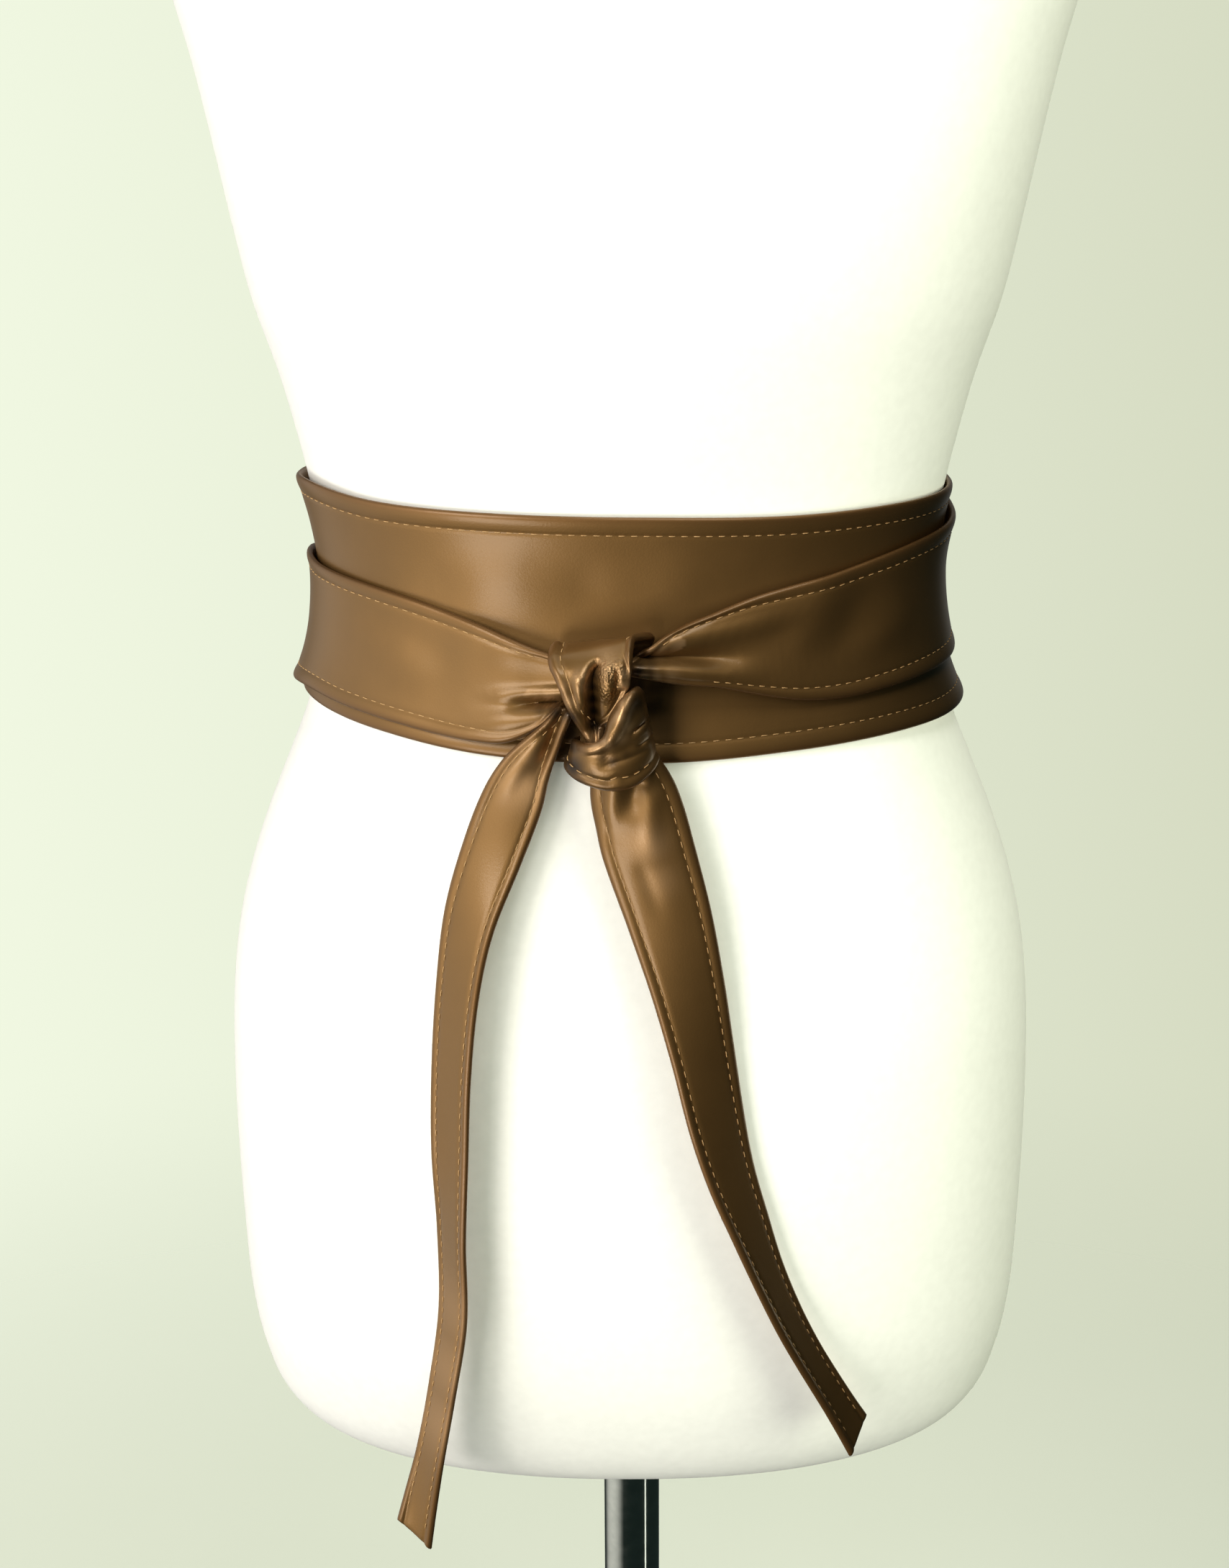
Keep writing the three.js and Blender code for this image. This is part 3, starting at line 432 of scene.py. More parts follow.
class Strap:
    """A strap's middle surface as a grid. place(station, share) gives its points in millimetres,
    station along and share from 0 at the low edge to 1 at the top edge. The columns lie close
    together where the edge rolls and at the stitch lines, and even between. insets are rules for
    the stitch lines' distances from the low and the top edge, or None."""

    # places in from an edge whose stitch line lies 7 mm in
    edge_steps = np.array([0, 0.12, 0.45, 1, 1.7, 2.6, 3.6, 4.6, 5.4, 6.1, 6.6, 7, 7.4, 8, 9])

    def __init__(self, place, stations, insets, across_steps, side=1, roll=ROLL):
        self.place, self.stations = place, stations
        self.side, self.roll = side, roll
        low, top = place(stations, 0.0), place(stations, 1.0)
        middle = place(stations, 0.5)
        along = unit(np.gradient(middle, axis=0))
        across = top - low
        square = np.linalg.norm(np.cross(along, unit(across)), axis=-1)
        self.width = np.linalg.norm(across, axis=-1) * np.maximum(square, 0.3)
        self.insets = [rule(self.width) if rule else None for rule in insets]
        steps = np.linalg.norm(np.diff(middle, axis=0), axis=-1)
        self.arc = np.concatenate([[0], np.cumsum(steps)])
        self.shares = self.shares_across(across_steps)
        self.points = place(stations[:, None], self.shares)
        self.normals = self.normals_of(self.points)

    def shares_across(self, across_steps):
        """Each station's shares: the edge steps at both edges and even steps between."""
        sides = []
        for inset in self.insets:
            edge = self.edge_steps * (inset if inset is not None else self.insets[0])[:, None] / 7
            squeeze = np.minimum(1, self.width / (2.4 * edge[:, -1]))
            sides.append(edge * (squeeze / self.width)[:, None])
        low, top = sides
        even = np.linspace(0, 1, across_steps + 1)[1:-1]
        between = low[:, -1:] + (1 - low[:, -1:] - top[:, -1:]) * even
        return np.concatenate([low, between, 1 - top[:, ::-1]], axis=1)

    def normals_of(self, points):
        """Unit normals of a grid, out of the strap's front."""
        along, across = np.gradient(points, axis=0), np.gradient(points, axis=1)
        return self.side * unit(np.cross(along, across))

    def skins(self):
        """How far the outer and the inner skin stand off the middle surface: half the leather,
        rounded off at every edge and end; outside, it swells between an edge and its stitch line
        and is pinched along the line."""
        low = self.shares * self.width[:, None]
        top = (1 - self.shares) * self.width[:, None]
        end = np.minimum(self.arc, self.arc[-1] - self.arc)[:, None]
        rounding = edge_round(np.minimum(np.minimum(low, top), end), EDGE_RADIUS)
        outer = np.full_like(low, LEATHER / 2)
        pinch = np.zeros_like(low)
        for distance, inset in ((low, self.insets[0]), (top, self.insets[1])):
            if inset is not None:
                line = inset[:, None]
                outer += self.roll * hump(distance, 0.45 * line, 0.5 * line)
                pinch += PINCH * hump(distance, line, PINCH_WIDTH)
        return rounding * outer - pinch * rounding, rounding * LEATHER / 2

    def mesh(self, name):
        """The closed shell of both skins, which share the points of their border."""
        outer, inner = self.skins()
        front = self.points + self.normals * outer[..., None]
        back = self.points - self.normals * inner[..., None]
        rows, columns = outer.shape
        front_index = np.arange(rows * columns).reshape(rows, columns)
        back_index = front_index.copy()
        count = (rows - 2) * (columns - 2)
        back_index[1:-1, 1:-1] = rows * columns + np.arange(count).reshape(rows - 2, columns - 2)
        faces = [quads(front_index, self.side > 0), quads(back_index, self.side < 0)]
        points = np.concatenate([front.reshape(-1, 3), back[1:-1, 1:-1].reshape(-1, 3)])
        made = link_mesh(name, points, np.concatenate(faces).tolist())
        across = (self.shares - 0.5) * self.width[:, None]
        along = np.broadcast_to(self.arc[:, None], across.shape)
        both = [np.concatenate([g.ravel(), g[1:-1, 1:-1].ravel()]) for g in (across, along)]
        map_flat(made, *both)
        store(made, "crumple", spots_at(points, CRUMPLES, CRUMPLE_FRONT))
        # painted shade in the hollows round the knot
        store(made, "hollow", spots_at(points, PAINTED_SHADE_SPOTS, PAINTED_SHADE_FRONT))
        # painted highlights on ridges and bends
        store(made, "painted_highlight", spots_at(points, PAINTED_HIGHLIGHT_SPOTS, PAINTED_HIGHLIGHT_FRONT))
        store(made, "pull", pull_at(points))
        from_edge = np.minimum(self.shares, 1 - self.shares) * self.width[:, None]
        margin = np.exp(-((from_edge / WORN_MARGIN) ** 2))
        store(made, "margin", np.concatenate([margin.ravel(), margin[1:-1, 1:-1].ravel()]))
        return made

    def stitch_row(self, from_top, start=0.0, end=0.0, behind=False):
        """A row of stitches along one edge, at its inset: each stitch's middle, its direction and
        the way it faces. start and end leave that many millimetres bare at the strap's ends."""
        inset = self.insets[1 if from_top else 0]
        share = inset / self.width
        share = 1 - share if from_top else share
        line = self.place(self.stations, share)
        step = 0.4 / self.width
        over = self.place(self.stations, share + step) - self.place(self.stations, share - step)
        along = np.gradient(line, axis=0)
        out = self.side * unit(np.cross(along, over)) * (-1 if behind else 1)
        depth = LEATHER / 2 if behind else LEATHER / 2 - PINCH
        line = line + out * (depth + 0.4 * THREAD)
        arc = np.concatenate([[0], np.cumsum(np.linalg.norm(np.diff(line, axis=0), axis=-1))])
        count = int((arc[-1] - start - end) / STITCH_PITCH)
        at = start + STITCH_PITCH * (0.5 + np.arange(count))

        def pick(values):
            return np.stack([np.interp(at, arc, values[:, k]) for k in range(3)], axis=1)

        return pick(line), unit(pick(unit(along))), unit(pick(out))


def quads(index, forward):
    """The faces of a grid of point numbers, wound one way or the other."""
    a, b, c, d = index[:-1, :-1], index[1:, :-1], index[1:, 1:], index[:-1, 1:]
    ordered = (a, b, c, d) if forward else (a, d, c, b)
    return np.stack([g.ravel() for g in ordered], axis=1)


def stitching(name, rows):
    """Thread for rows of stitches, as one mesh. Each stitch is a round tube that rises over the
    leather in the middle and dips into its holes at both ends."""
    middles, along, out = (np.concatenate([row[k] for row in rows]) for k in range(3))
    over = np.cross(along, out)
    half = STITCH_LENGTH / 2
    reach = np.array([-half, -half + 0.3, -half + 1.0, half - 1.0, half - 0.3, half])
    radius = THREAD * np.array([0.45, 0.9, 1.0, 1.0, 0.9, 0.45])
    rise = np.array([-0.28, 0.0, 0.06, 0.06, 0.0, -0.28])
    sides = 6
    round_it = 2 * np.pi * np.arange(sides) / sides
    up = rise[:, None] + radius[:, None] * np.cos(round_it)
    aside = radius[:, None] * np.sin(round_it)
    points = (
        middles[:, None, None]
        + along[:, None, None] * reach[None, :, None, None]
        + out[:, None, None] * up[None, :, :, None]
        + over[:, None, None] * aside[None, :, :, None]
    )
    rings = len(reach)
    one = np.arange(rings * sides).reshape(rings, sides)
    tube = quads(np.concatenate([one, one[:, :1]], axis=1), True)
    each = len(middles)
    starts = (np.arange(each) * rings * sides)[:, None, None]
    faces = (tube[None] + starts).reshape(-1, 4).tolist()
    caps = np.stack([one[0], one[-1][::-1]])
    faces += (caps[None] + starts).reshape(-1, sides).tolist()
    return link_mesh(name, points.reshape(-1, 3), faces)


def even_stations(place, first, last, spacing, fine=None):
    """Stations along a strap's middle, spaced in millimetres: close together at both ends, where
    the edge rounds off, and closer again from the station that fine names."""
    dense = np.linspace(first, last, 1500)
    points = place(dense, 0.5)
    arc = np.concatenate([[0], np.cumsum(np.linalg.norm(np.diff(points, axis=0), axis=-1))])
    ends = np.array([0, 0.12, 0.45, 1.0])
    bend = arc[-1] if fine is None else np.interp(fine, dense, arc)
    coarse = np.arange(1.8, bend, spacing)
    close = np.arange(bend, arc[-1] - 1.8, spacing / 2) if fine is not None else np.array([])
    places = np.unique(np.concatenate([ends, coarse, close, arc[-1] - ends[::-1]]))
    places = places[(places <= 1.0) | (places >= arc[-1] - 1.0) | (places < arc[-1] - 1.6)]
    return np.interp(places, arc, dense)


def stand_off(rows, turn, share):
    """How far a strap's edges stand off, fading by the square towards its middle."""
    top = curve(rows, "turn", "topFlare", turn)
    low = curve(rows, "turn", "lowFlare", turn)
    return top * np.maximum(2 * share - 1, 0) ** 2 + low * np.maximum(1 - 2 * share, 0) ** 2


def panel_place(turn, share):
    """The panel's middle surface: between its two edges over the form, one layer out, with soft
    hollows and swells."""
    low, top = curve(PANEL, "turn", "low", turn), curve(PANEL, "turn", "top", turn)
    height = low + (top - low) * share
    rise = crease_rise(form_point(turn, height), PANEL_CREASES)
    out = FIRST_LAYER + LEATHER / 2 + stand_off(PANEL, turn, share)
    return off_form(turn, height, out + np.maximum(rise, -0.6))


def tie_place(rows, side, creases):
    """A tie's middle surface over the form: its layer, its edges' stand-off and its creases."""

    def place(turn, share):
        low, top = curve(rows, "turn", "low", turn), curve(rows, "turn", "top", turn)
        lift = curve(rows, "turn", "lift", turn)
        height = low + (top - low) * share
        spot = form_point(side * turn, height)
        rise = crease_rise(spot, creases) + crease_rise(spot, BACK_CREASES, 1)
        out = FIRST_LAYER + (SECOND_LAYER - FIRST_LAYER) * lift + LEATHER / 2
        return off_form(side * turn, height, out + stand_off(rows, turn, share) + rise)

    return place


def brought_forward(points, rise):
    """Points moved forward, towards -Y, by a rise."""
    return points - stack(0 * rise, rise, 0 * rise)


def tail_place(rows, slant, creases):
    """A tail's middle surface: a strip across the middle line, leaning with it, rolled about it
    and bowed forward, with its end cut on a slant."""

    def place(station, share):
        height = rows["z"][0] + (rows["z"][-1] - rows["z"][0]) * np.asarray(station)
        value = partial(curve, rows, "z", place=height)
        lean = np.arctan(
            (curve(rows, "z", "x", height - 1) - curve(rows, "z", "x", height + 1)) / 2
        )
        roll = np.radians(value("turn"))
        offset = (share - 0.5) * value("width")
        bow = value("dish") * (1 - (2 * share - 1) ** 2)
        cut = np.asarray(station) ** CUT_POWER * slant * (share - 0.5)
        points = stack(
            value("x") + offset * np.cos(roll) * np.cos(lean),
            value("y") - bow - offset * np.sin(roll),
            BELT_MIDDLE + height + offset * np.cos(roll) * np.sin(lean) + cut,
        )
        return brought_forward(points, crease_rise(points, creases))

    return place


def fold_place(station, share):
    """The fold's middle surface: rows from its left edge to its right edge, crowned forward, with
    the knot's deep hollow and the ridges beside it on the front."""
    row = np.asarray(station) * FOLD["index"][-1]
    value = partial(curve, FOLD, "index", place=row)
    crown = value("puff") * (1 - (2 * share - 1) ** 2)
    x = value("xLeft") + (value("xRight") - value("xLeft")) * share
    z = value("zLeft") + (value("zRight") - value("zLeft")) * share
    front = smooth(station, 0.3, 0.5)
    points = stack(x, value("y") - crown - front * FOLD_LEAN * (2 * share - 1), BELT_MIDDLE + z)
    rise = crease_rise(points, FOLD_CREASES) * smooth(station, 0.36, 0.5)
    return brought_forward(points, rise)


def band_place(station, share):
    """The band's middle surface: rows from its lower edge to its top edge, swelling between them,
    with the creases that the pull of the knot leaves at its right side."""
    row = np.asarray(station) * BAND["index"][-1]
    value = partial(curve, BAND, "index", place=row)

    def between(axis):
        low, top = value(axis + "Low"), value(axis + "Top")
        return low + (top - low) * share

    swell = BAND_PUFF * (1 - (2 * share - 1) ** 2)
    tuck = BAND_TUCK * smooth(share, TUCK_START, 1) ** 2
    points = stack(between("x"), between("y") - swell + tuck, BELT_MIDDLE + between("z"))
    return brought_forward(points, crease_rise(points, BAND_CREASES))


def add_node(nodes, kind, settings=(), links=()):
    """Adds a node with its settings and links. A setting whose name is a socket's fills the socket,
    and any other sets the node itself. A link is (socket, other node, its output)."""
    node = nodes.new(kind)
    for name, value in dict(settings).items():
        if isinstance(name, int) or name in node.inputs:
            node.inputs[name].default_value = value
        else:
            setattr(node, name, value)
    for socket, other, output in links:
        node.id_data.links.new(other.outputs[output], node.inputs[socket])
    return node


def linear(hex_colour):
    """An sRGB hex colour as linear red, green, blue and alpha."""
    parts = [int(hex_colour[k : k + 2], 16) / 255 for k in (1, 3, 5)]
    return [p / 12.92 if p <= 0.04045 else ((p + 0.055) / 1.055) ** 2.4 for p in parts] + [1.0]


def new_material(name):
    """A material with an empty tree but for its surface shader, and its nodes."""
    material = bpy.data.materials.new(name)
    material.use_nodes = True
    nodes = material.node_tree.nodes
    return material, nodes, nodes["Principled BSDF"]


def ramp(nodes, source, output, stops):
    """A colour ramp through stops of (position, hex colour)."""
    node = add_node(nodes, "ShaderNodeValToRGB", links=[("Fac", source, output)])
    elements = node.color_ramp.elements
    while len(elements) < len(stops):
        elements.new(0.5)
    for element, (position, colour) in zip(elements, stops):
        element.position = position
        element.color = linear(colour)
    return node


def feed(node, output, shader, socket):
    """Links a node's output to a socket of the surface shader."""
    shader.id_data.links.new(node.outputs[output], shader.inputs[socket])


def pattern(nodes, kind, settings):
    """A noise or cell pattern that keeps its place on the piece."""
    place = add_node(nodes, "ShaderNodeTexCoord")
    return add_node(nodes, kind, settings, [("Vector", place, "Object")])


def spread(nodes, source, low, high):
    """A pattern's values, spread between two others."""
    return add_node(
        nodes, "ShaderNodeMapRange", {"To Min": low, "To Max": high}, [("Value", source, "Fac")]
    )


def relief(nodes, source, output, strength, metres, under=()):
    """A bump of a height in metres, on top of the one that under links."""
    return add_node(
        nodes, "ShaderNodeBump", {"Strength": strength, "Distance": metres},
        [("Height", source, output), *under],
    )


def stored(nodes, name):
    """The number that a mesh keeps under a name for each of its points."""
    return add_node(nodes, "ShaderNodeAttribute", {"attribute_name": name})


def tinted(nodes, source, output, share, colour):
    """A colour mixed with another by the share that the mesh keeps for each point."""
    return add_node(
        nodes, "ShaderNodeMix", {"data_type": "RGBA", 7: linear(colour)},
        [(6, source, output), (0, stored(nodes, share), "Fac")],
    )


def bronze_leather():
    """Pearl-finished smooth calf leather, doubled: a warm metallic sheen over brown, worn at the
    margins, with painted shade darkening the hollows round the knot and painted highlights
    lightening ridges and bends, a fine pore grain, and close wrinkles where the knot pulls it."""
    material, nodes, shader = new_material("bronze_leather")
    clouds = pattern(
        nodes, "ShaderNodeTexNoise", {"Scale": 28.0, "Detail": 4.0, "Roughness": 0.55}
    )
    tone = ramp(nodes, clouds, "Fac", [(0.25, "#78592f"), (0.5, "#7d5d32"), (0.75, "#826135")])
    worn = tinted(nodes, tone, "Color", "margin", "#73522c")
    # painted shade: the hollows round the knot darkened towards near black
    dark = tinted(nodes, worn, 2, "hollow", "#20140a")
    # painted highlight: ridges and bends lightened towards pale tan
    painted_highlight_colour = tinted(nodes, dark, 2, "painted_highlight", "#c09a70")
    feed(painted_highlight_colour, 2, shader, "Base Color")
    shader.inputs["Metallic"].default_value = 0.75
    # shinier where the knot stretches it
    shiny = add_node(
        nodes, "ShaderNodeMix", {"data_type": "FLOAT", 3: 0.34},
        [(2, spread(nodes, clouds, 0.5, 0.56), "Result"), (0, stored(nodes, "pull"), "Fac")],
    )
    feed(shiny, 0, shader, "Roughness")
    # pores about 0.8 mm apart
    pores = pattern(nodes, "ShaderNodeTexVoronoi", {"Scale": 1250.0, "Randomness": 1.0})
    # pebbled wrinkles about 1.1 mm apart, only where the knot pulls the leather together
    pebbles = pattern(
        nodes, "ShaderNodeTexVoronoi",
        {"feature": "SMOOTH_F1", "Scale": 900.0, "Smoothness": 0.6, "Randomness": 1.0},
    )
    fine = add_node(
        nodes, "ShaderNodeMath", {"operation": "MULTIPLY"},
        [(0, pebbles, "Distance"), (1, stored(nodes, "crumple"), "Fac")],
    )
    grain = relief(nodes, pores, "Distance", 0.08, 0.0002)
    creased = relief(nodes, fine, "Value", 1.0, 0.001, [("Normal", grain, "Normal")])
    feed(creased, "Normal", shader, "Normal")
    feed(creased, "Normal", shader, "Coat Normal")
    shader.inputs["Coat Weight"].default_value = 0.4
    shader.inputs["Coat Roughness"].default_value = 0.24
    return material


def tan_thread():
    """Bonded polyester thread: pale tan, slightly shiny, with the twist of its plies."""
    material, nodes, shader = new_material("tan_thread")
    plies = pattern(nodes, "ShaderNodeTexNoise", {"Scale": 1800.0, "Detail": 1.0})
    tone = ramp(nodes, plies, "Fac", [(0.3, "#b08a58"), (0.7, "#cca775")])
    feed(tone, "Color", shader, "Base Color")
    feed(relief(nodes, plies, "Fac", 0.5, 0.0002), "Normal", shader, "Normal")
    shader.inputs["Roughness"].default_value = 0.5
    return material


def white_shell():
    """Moulded fibreglass with a satin white paint: a faint ripple in the gloss."""
    material, nodes, shader = new_material("white_shell")
    ripple = pattern(nodes, "ShaderNodeTexNoise", {"Scale": 220.0, "Detail": 3.0})
    tone = ramp(nodes, ripple, "Fac", [(0.25, "#f1f2f3"), (0.75, "#f6f7f8")])
    feed(tone, "Color", shader, "Base Color")
    feed(spread(nodes, ripple, 0.48, 0.6), "Result", shader, "Roughness")
    feed(relief(nodes, ripple, "Fac", 0.1, 0.0003), "Normal", shader, "Normal")
    return material


def chrome_plate():
    """Chromed steel tube and plate: a mirror with faint drawing marks and fingerprints."""
    material, nodes, shader = new_material("chrome_plate")
    marks = pattern(nodes, "ShaderNodeTexNoise", {"Scale": 160.0, "Detail": 4.0})
    tone = ramp(nodes, marks, "Fac", [(0.3, "#b4b8b2"), (0.7, "#c4c7c1")])
    feed(tone, "Color", shader, "Base Color")
    feed(spread(nodes, marks, 0.06, 0.16), "Result", shader, "Roughness")
    shader.inputs["Metallic"].default_value = 1.0
    return material


leather = bronze_leather()
thread = tan_thread()
shell = white_shell()
chrome = chrome_plate()


def finish_piece(obj, material, nodes):
    """Gives a piece its material, its body and the nodes it stands for."""
    obj.data.materials.append(material)
    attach(obj, "root")
    if nodes:
        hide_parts(*nodes)
    return obj


def leather_piece(name, strap, nodes, rows):
    """One leather stretch with its stitching."""
    body = finish_piece(strap.mesh(name), leather, nodes)
    sewn = finish_piece(stitching(name + "_stitching", rows), thread, ())


WIDE = (wide_inset, wide_inset)
NARROW = (tail_inset, tail_inset)
half_gap = math.degrees(SEAM_GAP / 2 / SEAM_RADIUS)
panel_end = SEAM_ANGLE - half_gap


def tie(rows, side, creases):
    """A whole tie, from its seam round the back to the knot."""
    place = tie_place(rows, side, creases)
    start, end = SEAM_ANGLE + half_gap, rows["turn"][-1]
    stations = even_stations(place, start, end, STRAP_STEP, FINE_TURN)
    return Strap(place, stations, WIDE, STEPS_ACROSS, side)


def tail(rows, slant, creases, across_steps):
    """A hanging tail, from the knot to its slanted end."""
    place = tail_place(rows, slant, creases)
    return Strap(place, even_stations(place, 0, 1, TAIL_STEP), NARROW, across_steps)


panel = Strap(
    panel_place, even_stations(panel_place, -panel_end, panel_end, STRAP_STEP), WIDE, STEPS_ACROSS
)
left_tie = tie(LEFT_TIE, -1, RIGHT_WRAP_CREASES)
right_tie = tie(RIGHT_TIE, 1, LEFT_WRAP_CREASES)
left_tail = tail(LEFT_TAIL, LEFT_SLANT, LEFT_TAIL_CREASES, 12)
right_tail = tail(RIGHT_TAIL, RIGHT_SLANT, RIGHT_TAIL_CREASES, 14)
fold = Strap(
    fold_place, even_stations(fold_place, 0, 1, KNOT_STEP), (even_inset(5.0), even_inset(3.2)),
    KNOT_STEPS_ACROSS, roll=KNOT_ROLL,
)
band = Strap(
    band_place, even_stations(band_place, 0, 1, KNOT_STEP), (even_inset(4.6), None),
    KNOT_STEPS_ACROSS, roll=KNOT_ROLL,
)

leather_piece(
    "belt_panel", panel, ["front_panel"],
    [panel.stitch_row(False, 3, 3), panel.stitch_row(True, 3, 3)],
)
leather_piece(
    "left_tie", left_tie, ["back_over", "wrap_right"],
    [left_tie.stitch_row(False, 3, 34), left_tie.stitch_row(True, 3, 16)],
)
leather_piece(
    "right_tie", right_tie, ["back_under", "wrap_left"],
    [right_tie.stitch_row(False, 3, 38), right_tie.stitch_row(True, 3, 16)],
)
leather_piece(
    "knot_turn", fold, ["knot_fold"],
    [fold.stitch_row(False, 4, 6), fold.stitch_row(True, 3, fold.arc[-1] - 17)],
)
leather_piece(
    "knot_wrap", band, ["knot_band"],
    [band.stitch_row(False, 4, 3)],
)
leather_piece(
    "left_tail", left_tail, ["tail_left"],
    [left_tail.stitch_row(t, 2, 4, b) for t in (False, True) for b in (False, True)],
)
leather_piece(
    "right_tail", right_tail, ["tail_right"],
    [right_tail.stitch_row(t, 2, 4, b) for t in (False, True) for b in (False, True)],
)


def rings_mesh(name, rings, around):
    """A closed solid of rings of points, from its lowest to its highest, capped with a point in
    the middle of the first and the last ring."""
    count = len(rings)
    points = rings.reshape(-1, 3)
    index = np.arange(count * around).reshape(count, around)
    wrapped = np.concatenate([index, index[:, :1]], axis=1)
    faces = quads(wrapped, False).tolist()
    bottom, top = len(points), len(points) + 1
    points = np.concatenate([points, [rings[0].mean(axis=0)], [rings[-1].mean(axis=0)]])
    faces += [[bottom, b, a] for a, b in zip(wrapped[0, :-1].tolist(), wrapped[0, 1:].tolist())]
    faces += [[top, a, b] for a, b in zip(wrapped[-1, :-1].tolist(), wrapped[-1, 1:].tolist())]
    return link_mesh(name, points, faces)


def axis_ring(radius, angles, height):
    """A level circle about the pole's axis, from the front round towards +X."""
    return stack(radius * np.sin(angles), -radius * np.cos(angles), height)


def dress_form():
    """The torso: superellipse sections, close together where it curves most, with the pole's
    socket in its underside."""
    around = 144
    angles = np.arange(around) * 360 / around
    heights = np.concatenate([
        np.linspace(-380, -356, 14), np.linspace(-353, 300, 150), np.linspace(303, 450, 70)
    ])
    shell_rings = form_point(angles[None, :], heights[:, None])
    socket = [axis_ring(SOCKET, np.radians(angles), BELT_MIDDLE + z)[None] for z in (-320, -380)]
    return rings_mesh("dress_form", np.concatenate([*socket, shell_rings]), around)


def lathe(name, profile, around):
    """A solid turned about the pole's axis from a profile of (radius, height)."""
    angles = np.radians(np.arange(around) * 360 / around)
    radius, height = np.array(profile, float).T[:, :, None]
    return rings_mesh(name, axis_ring(radius, angles, height), around)


def fillet(radius, height, size, start, steps=6):
    """Points of a quarter circle about (radius, height), from an angle in degrees."""
    angles = np.radians(start + np.linspace(0, 90, steps))
    return [(radius + size * np.cos(a), height + size * np.sin(a)) for a in angles]


PLATE_HEIGHT = 8
PLATE_EDGE = 2.5  # radius of the base plate's rounded rim
# The flange round the pole, on the base: distance out from the pole and height
FLANGE = [(30, 8), (14, 8), (10, 9), (8, 11), (7.4, 14), (6, 16), (0.3, 16), (0.3, 6)]

torso = finish_piece(dress_form(), shell, ["form_torso"])
pole_low, pole_high = (corner.z * 1000 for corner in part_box("pole"))
pole_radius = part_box("pole")[1].x * 1000
pole = lathe(
    "stand_pole",
    [(pole_radius - 0.5, pole_low), (pole_radius, pole_low + 0.5), (pole_radius, pole_low + 3)]
    + [(pole_radius, z) for z in np.linspace(pole_low + 20, pole_high - 3, 30)]
    + [(pole_radius - 0.5, pole_high)],
    64,
)
finish_piece(pole, chrome, ["pole"])
base_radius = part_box("base")[1].x * 1000
rim = base_radius - PLATE_EDGE
base = lathe(
    "stand_base",
    [(rim, 0)]
    + fillet(rim, PLATE_EDGE, PLATE_EDGE, -90)
    + fillet(rim, PLATE_HEIGHT - PLATE_EDGE, PLATE_EDGE, 0)
    + [(base_radius - 12, PLATE_HEIGHT), (base_radius - 60, PLATE_HEIGHT)]
    + [(pole_radius + out, z) for out, z in FLANGE],
    144,
)
finish_piece(base, chrome, ["base"])

# Camera, fitted to the photograph: where the form's axis and the belt's edges fall in it
CAMERA_PLACE = (0.0, -1.0, BELT_MIDDLE / 1000 + 0.212)
CAMERA_PITCH = 16.6
CAMERA_TURN = 0.35
CAMERA_ROLL = -0.33
PHOTO_HEIGHT = 2179
FOCAL_PIXELS = 3414
SENSOR = 36.0


def photo_camera():
    """The camera at the photograph's place, looking down at the belt, with its small tilt."""
    data = bpy.data.cameras.new("camera")
    data.sensor_width = SENSOR
    data.lens = FOCAL_PIXELS / PHOTO_HEIGHT * SENSOR
    camera = bpy.data.objects.new("camera", data)
    camera.location = CAMERA_PLACE
    camera.rotation_mode = "XYZ"
    turned = (
        Matrix.Rotation(math.radians(CAMERA_TURN), 3, "Z")
        @ Matrix.Rotation(math.radians(90 - CAMERA_PITCH), 3, "X")
        @ Matrix.Rotation(math.radians(CAMERA_ROLL), 3, "Z")
    )
    camera.rotation_euler = turned.to_euler("XYZ")
    bpy.context.scene.collection.objects.link(camera)
    bpy.context.scene.camera = camera


def soft_light(name, place, target, size, power, colour, only=(), glossy=True):
    """A square soft light at a place in metres, facing a target, hidden from the camera. When only
    names pieces, it lights no others. It shows in gloss unless glossy is False."""
    data = bpy.data.lights.new(name, "AREA")
    data.shape, data.size, data.size_y = "RECTANGLE", size[0], size[1]
    data.energy, data.color = power, linear(colour)[:3]
    light = bpy.data.objects.new(name, data)
    light.location = place
    light.rotation_euler = (Vector(target) - Vector(place)).to_track_quat("-Z", "Y").to_euler()
    light.visible_camera = False
    light.visible_glossy = glossy
    bpy.context.scene.collection.objects.link(light)
    if only:
        lit = bpy.data.collections.new(name + "_lights")
        for obj in only:
            lit.objects.link(obj)
        light.light_linking.receiver_collection = lit


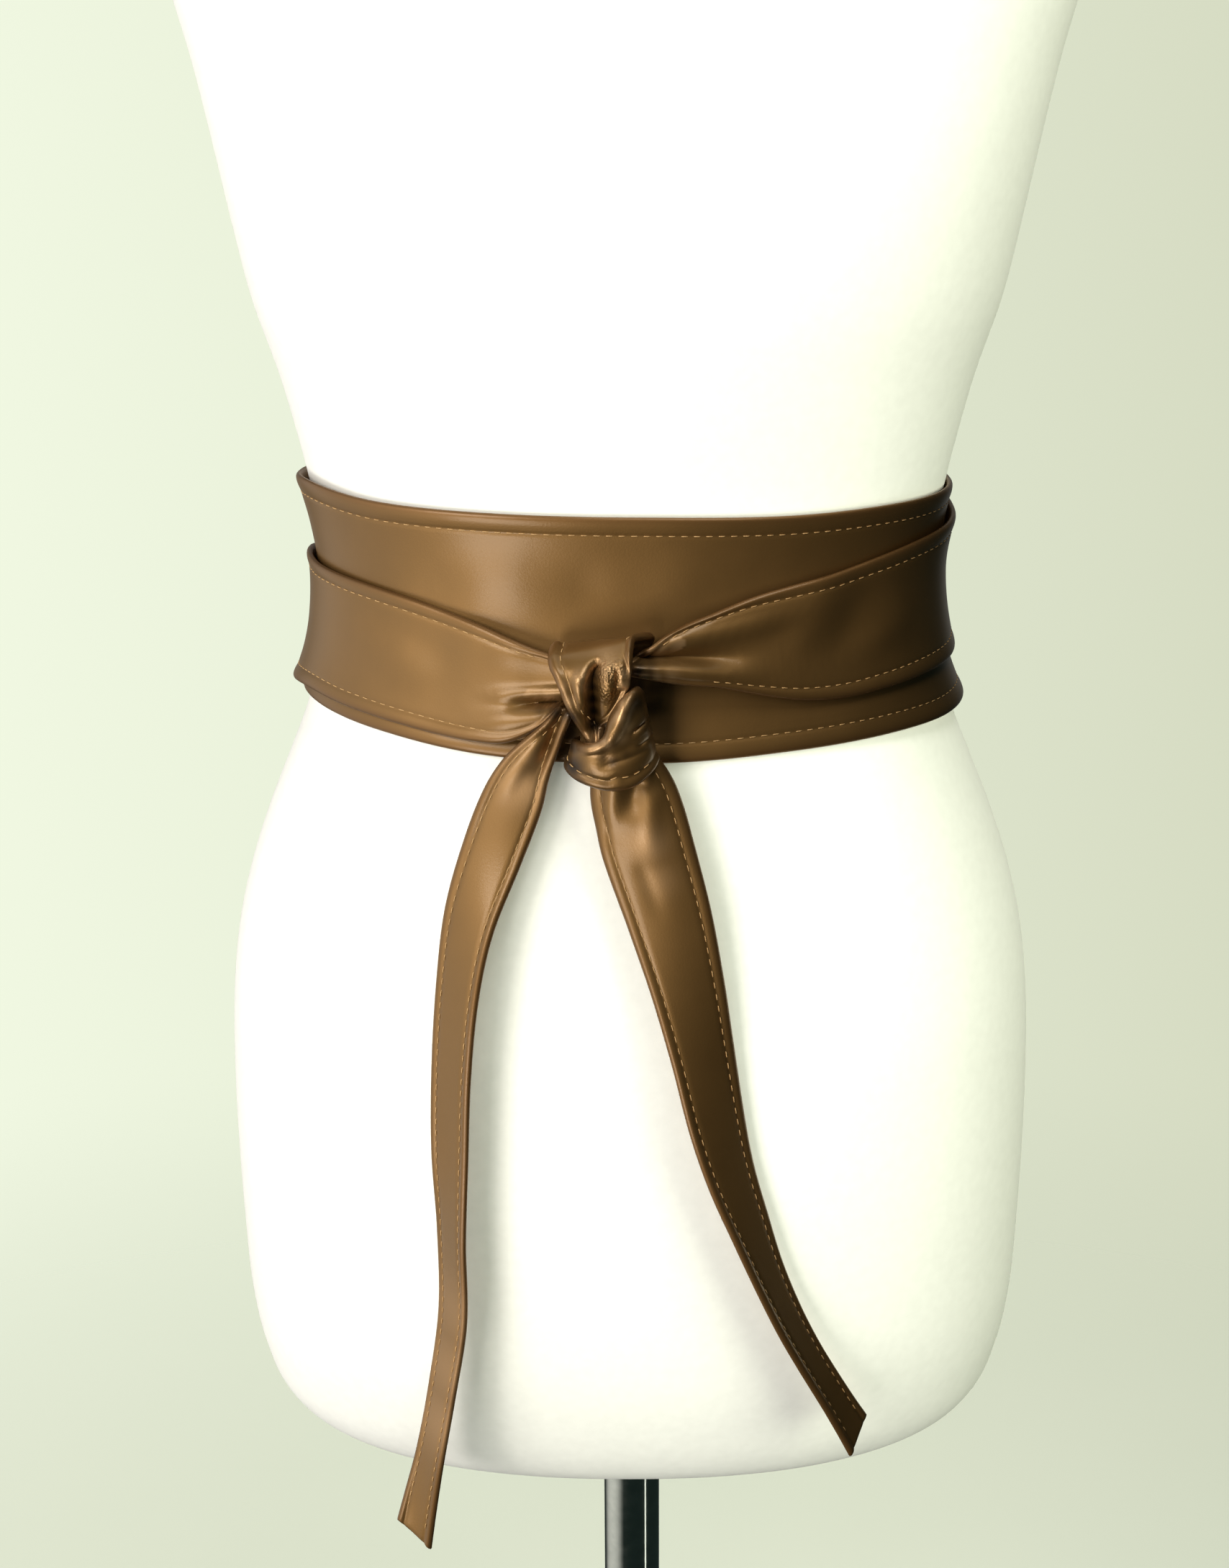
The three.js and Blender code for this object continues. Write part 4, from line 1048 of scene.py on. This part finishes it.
def pale_room():
    """The world. The camera sees a pale greenish wall, a little darker on the right. The light in
    the room is brighter on the left and behind, and dark at the right front and below."""
    world = bpy.data.worlds.new("room")
    world.use_nodes = True
    bpy.context.scene.world = world
    nodes = world.node_tree.nodes
    nodes.clear()
    place = add_node(nodes, "ShaderNodeTexCoord")
    split = add_node(nodes, "ShaderNodeSeparateXYZ", links=[("Vector", place, "Generated")])
    wall_side = add_node(
        nodes, "ShaderNodeMapRange", {"From Min": -0.26, "From Max": 0.26}, [("Value", split, "X")]
    )
    wall = ramp(nodes, wall_side, "Result", [(0.0, "#f1f8e2"), (0.5, "#e4ebd4"), (1.0, "#d5dac1")])
    leftness = add_node(
        nodes, "ShaderNodeMapRange",
        {"From Min": -0.95, "From Max": -0.45, "To Min": 1.0, "To Max": 0.0,
         "interpolation_type": "SMOOTHSTEP"},
        [("Value", split, "X")],
    )
    behind = add_node(
        nodes, "ShaderNodeMapRange",
        {"From Min": 0.7, "From Max": 1.0, "To Max": 0.3, "interpolation_type": "SMOOTHSTEP"},
        [("Value", split, "Y")],
    )
    brighter = add_node(
        nodes, "ShaderNodeMath", {"operation": "MAXIMUM"},
        [(0, leftness, "Result"), (1, behind, "Result")],
    )
    room = add_node(
        nodes, "ShaderNodeMix",
        {"data_type": "RGBA", 6: (0.015, 0.025, 0.022, 1.0), 7: (1.05, 1.03, 0.95, 1.0)},
        [(0, brighter, "Value")],
    )
    lit = add_node(nodes, "ShaderNodeBackground", {"Strength": 1.0}, [("Color", room, 2)])
    seen = add_node(nodes, "ShaderNodeBackground", {"Strength": 1.0}, [("Color", wall, "Color")])
    path = add_node(nodes, "ShaderNodeLightPath")
    both_ways = add_node(
        nodes, "ShaderNodeMixShader",
        links=[("Fac", path, "Is Camera Ray"), (1, lit, "Background"), (2, seen, "Background")],
    )
    add_node(nodes, "ShaderNodeOutputWorld", links=[("Surface", both_ways, "Shader")])


def pale_floor():
    """A matt pale floor round the stand that fades into the wall's colour further out."""
    around, rings, reach = 96, 24, 2200
    angles = np.radians(np.arange(around) * 360 / around)
    points = axis_ring(reach * np.linspace(0.02, 1, rings)[:, None], angles, -0.2)
    index = np.arange(rings * around).reshape(rings, around)
    faces = quads(np.concatenate([index, index[:, :1]], axis=1), False).tolist()
    faces.append(list(range(around)))
    floor = link_mesh("floor", points.reshape(-1, 3), faces)
    material, nodes, shader = new_material("pale_floor")
    mottle = pattern(nodes, "ShaderNodeTexNoise", {"Scale": 2.0, "Detail": 3.0})
    tone = ramp(nodes, mottle, "Fac", [(0.3, "#eef3e6"), (0.7, "#f2f6ea")])
    feed(tone, "Color", shader, "Base Color")
    shader.inputs["Roughness"].default_value = 0.9
    place = add_node(nodes, "ShaderNodeTexCoord")
    distance = add_node(
        nodes, "ShaderNodeVectorMath", {"operation": "LENGTH"}, [(0, place, "Object")]
    )
    fade = add_node(
        nodes, "ShaderNodeMapRange",
        {"From Min": 0.5, "From Max": 2.1, "To Min": 1.0, "To Max": 0.0,
         "interpolation_type": "SMOOTHSTEP"},
        [("Value", distance, "Value")],
    )
    feed(fade, "Result", shader, "Alpha")
    floor.data.materials.append(material)
    floor.visible_glossy = False  # the leather and the chrome reflect a dark room below them
    floor.visible_diffuse = False  # its bounce would light the belt's shaded side
    return floor


photo_camera()
pale_room()
floor = pale_floor()
soft_light("key", (-1.22, -1.6, 1.95), (0, 0, 1.02), (0.9, 1.1), 30, "#fff8ea")
soft_light("low_box", (-1.1, -1.85, 0.32), (0, 0, 1.02), (0.9, 0.9), 22, "#fff8ea")
soft_light("top_box", (0.35, -0.9, 2.8), (0, 0, 1.05), (0.7, 0.7), 14, "#f8f6ea")
soft_light("form_fill", (1.73, -1.1, 1.3), (0, 0, 1.0), (1.4, 1.8), 37, "#f2f5d6", [torso])
soft_light("form_front", (-0.1, -2.2, 1.0), (0, 0, 0.95), (1.6, 1.6), 9, "#ecf8e6", [torso])
soft_light(
    "back_fill", (0.2, 2.4, 1.5), (0, 0, 1), (1.6, 1.6), 22, "#f2f8e4", [torso], glossy=False
)
soft_light("floor_fill", (0, 0, 2.6), (0, 0, 0), (2.5, 2.5), 50, "#fbfff0", [floor])
soft_light("strip", (0.51, -0.31, 0.18), (0, 0, 0.6), (0.03, 0.4), 0.16, "#f4f6ea", [pole, base])
bpy.context.scene.view_settings.view_transform = "Standard"
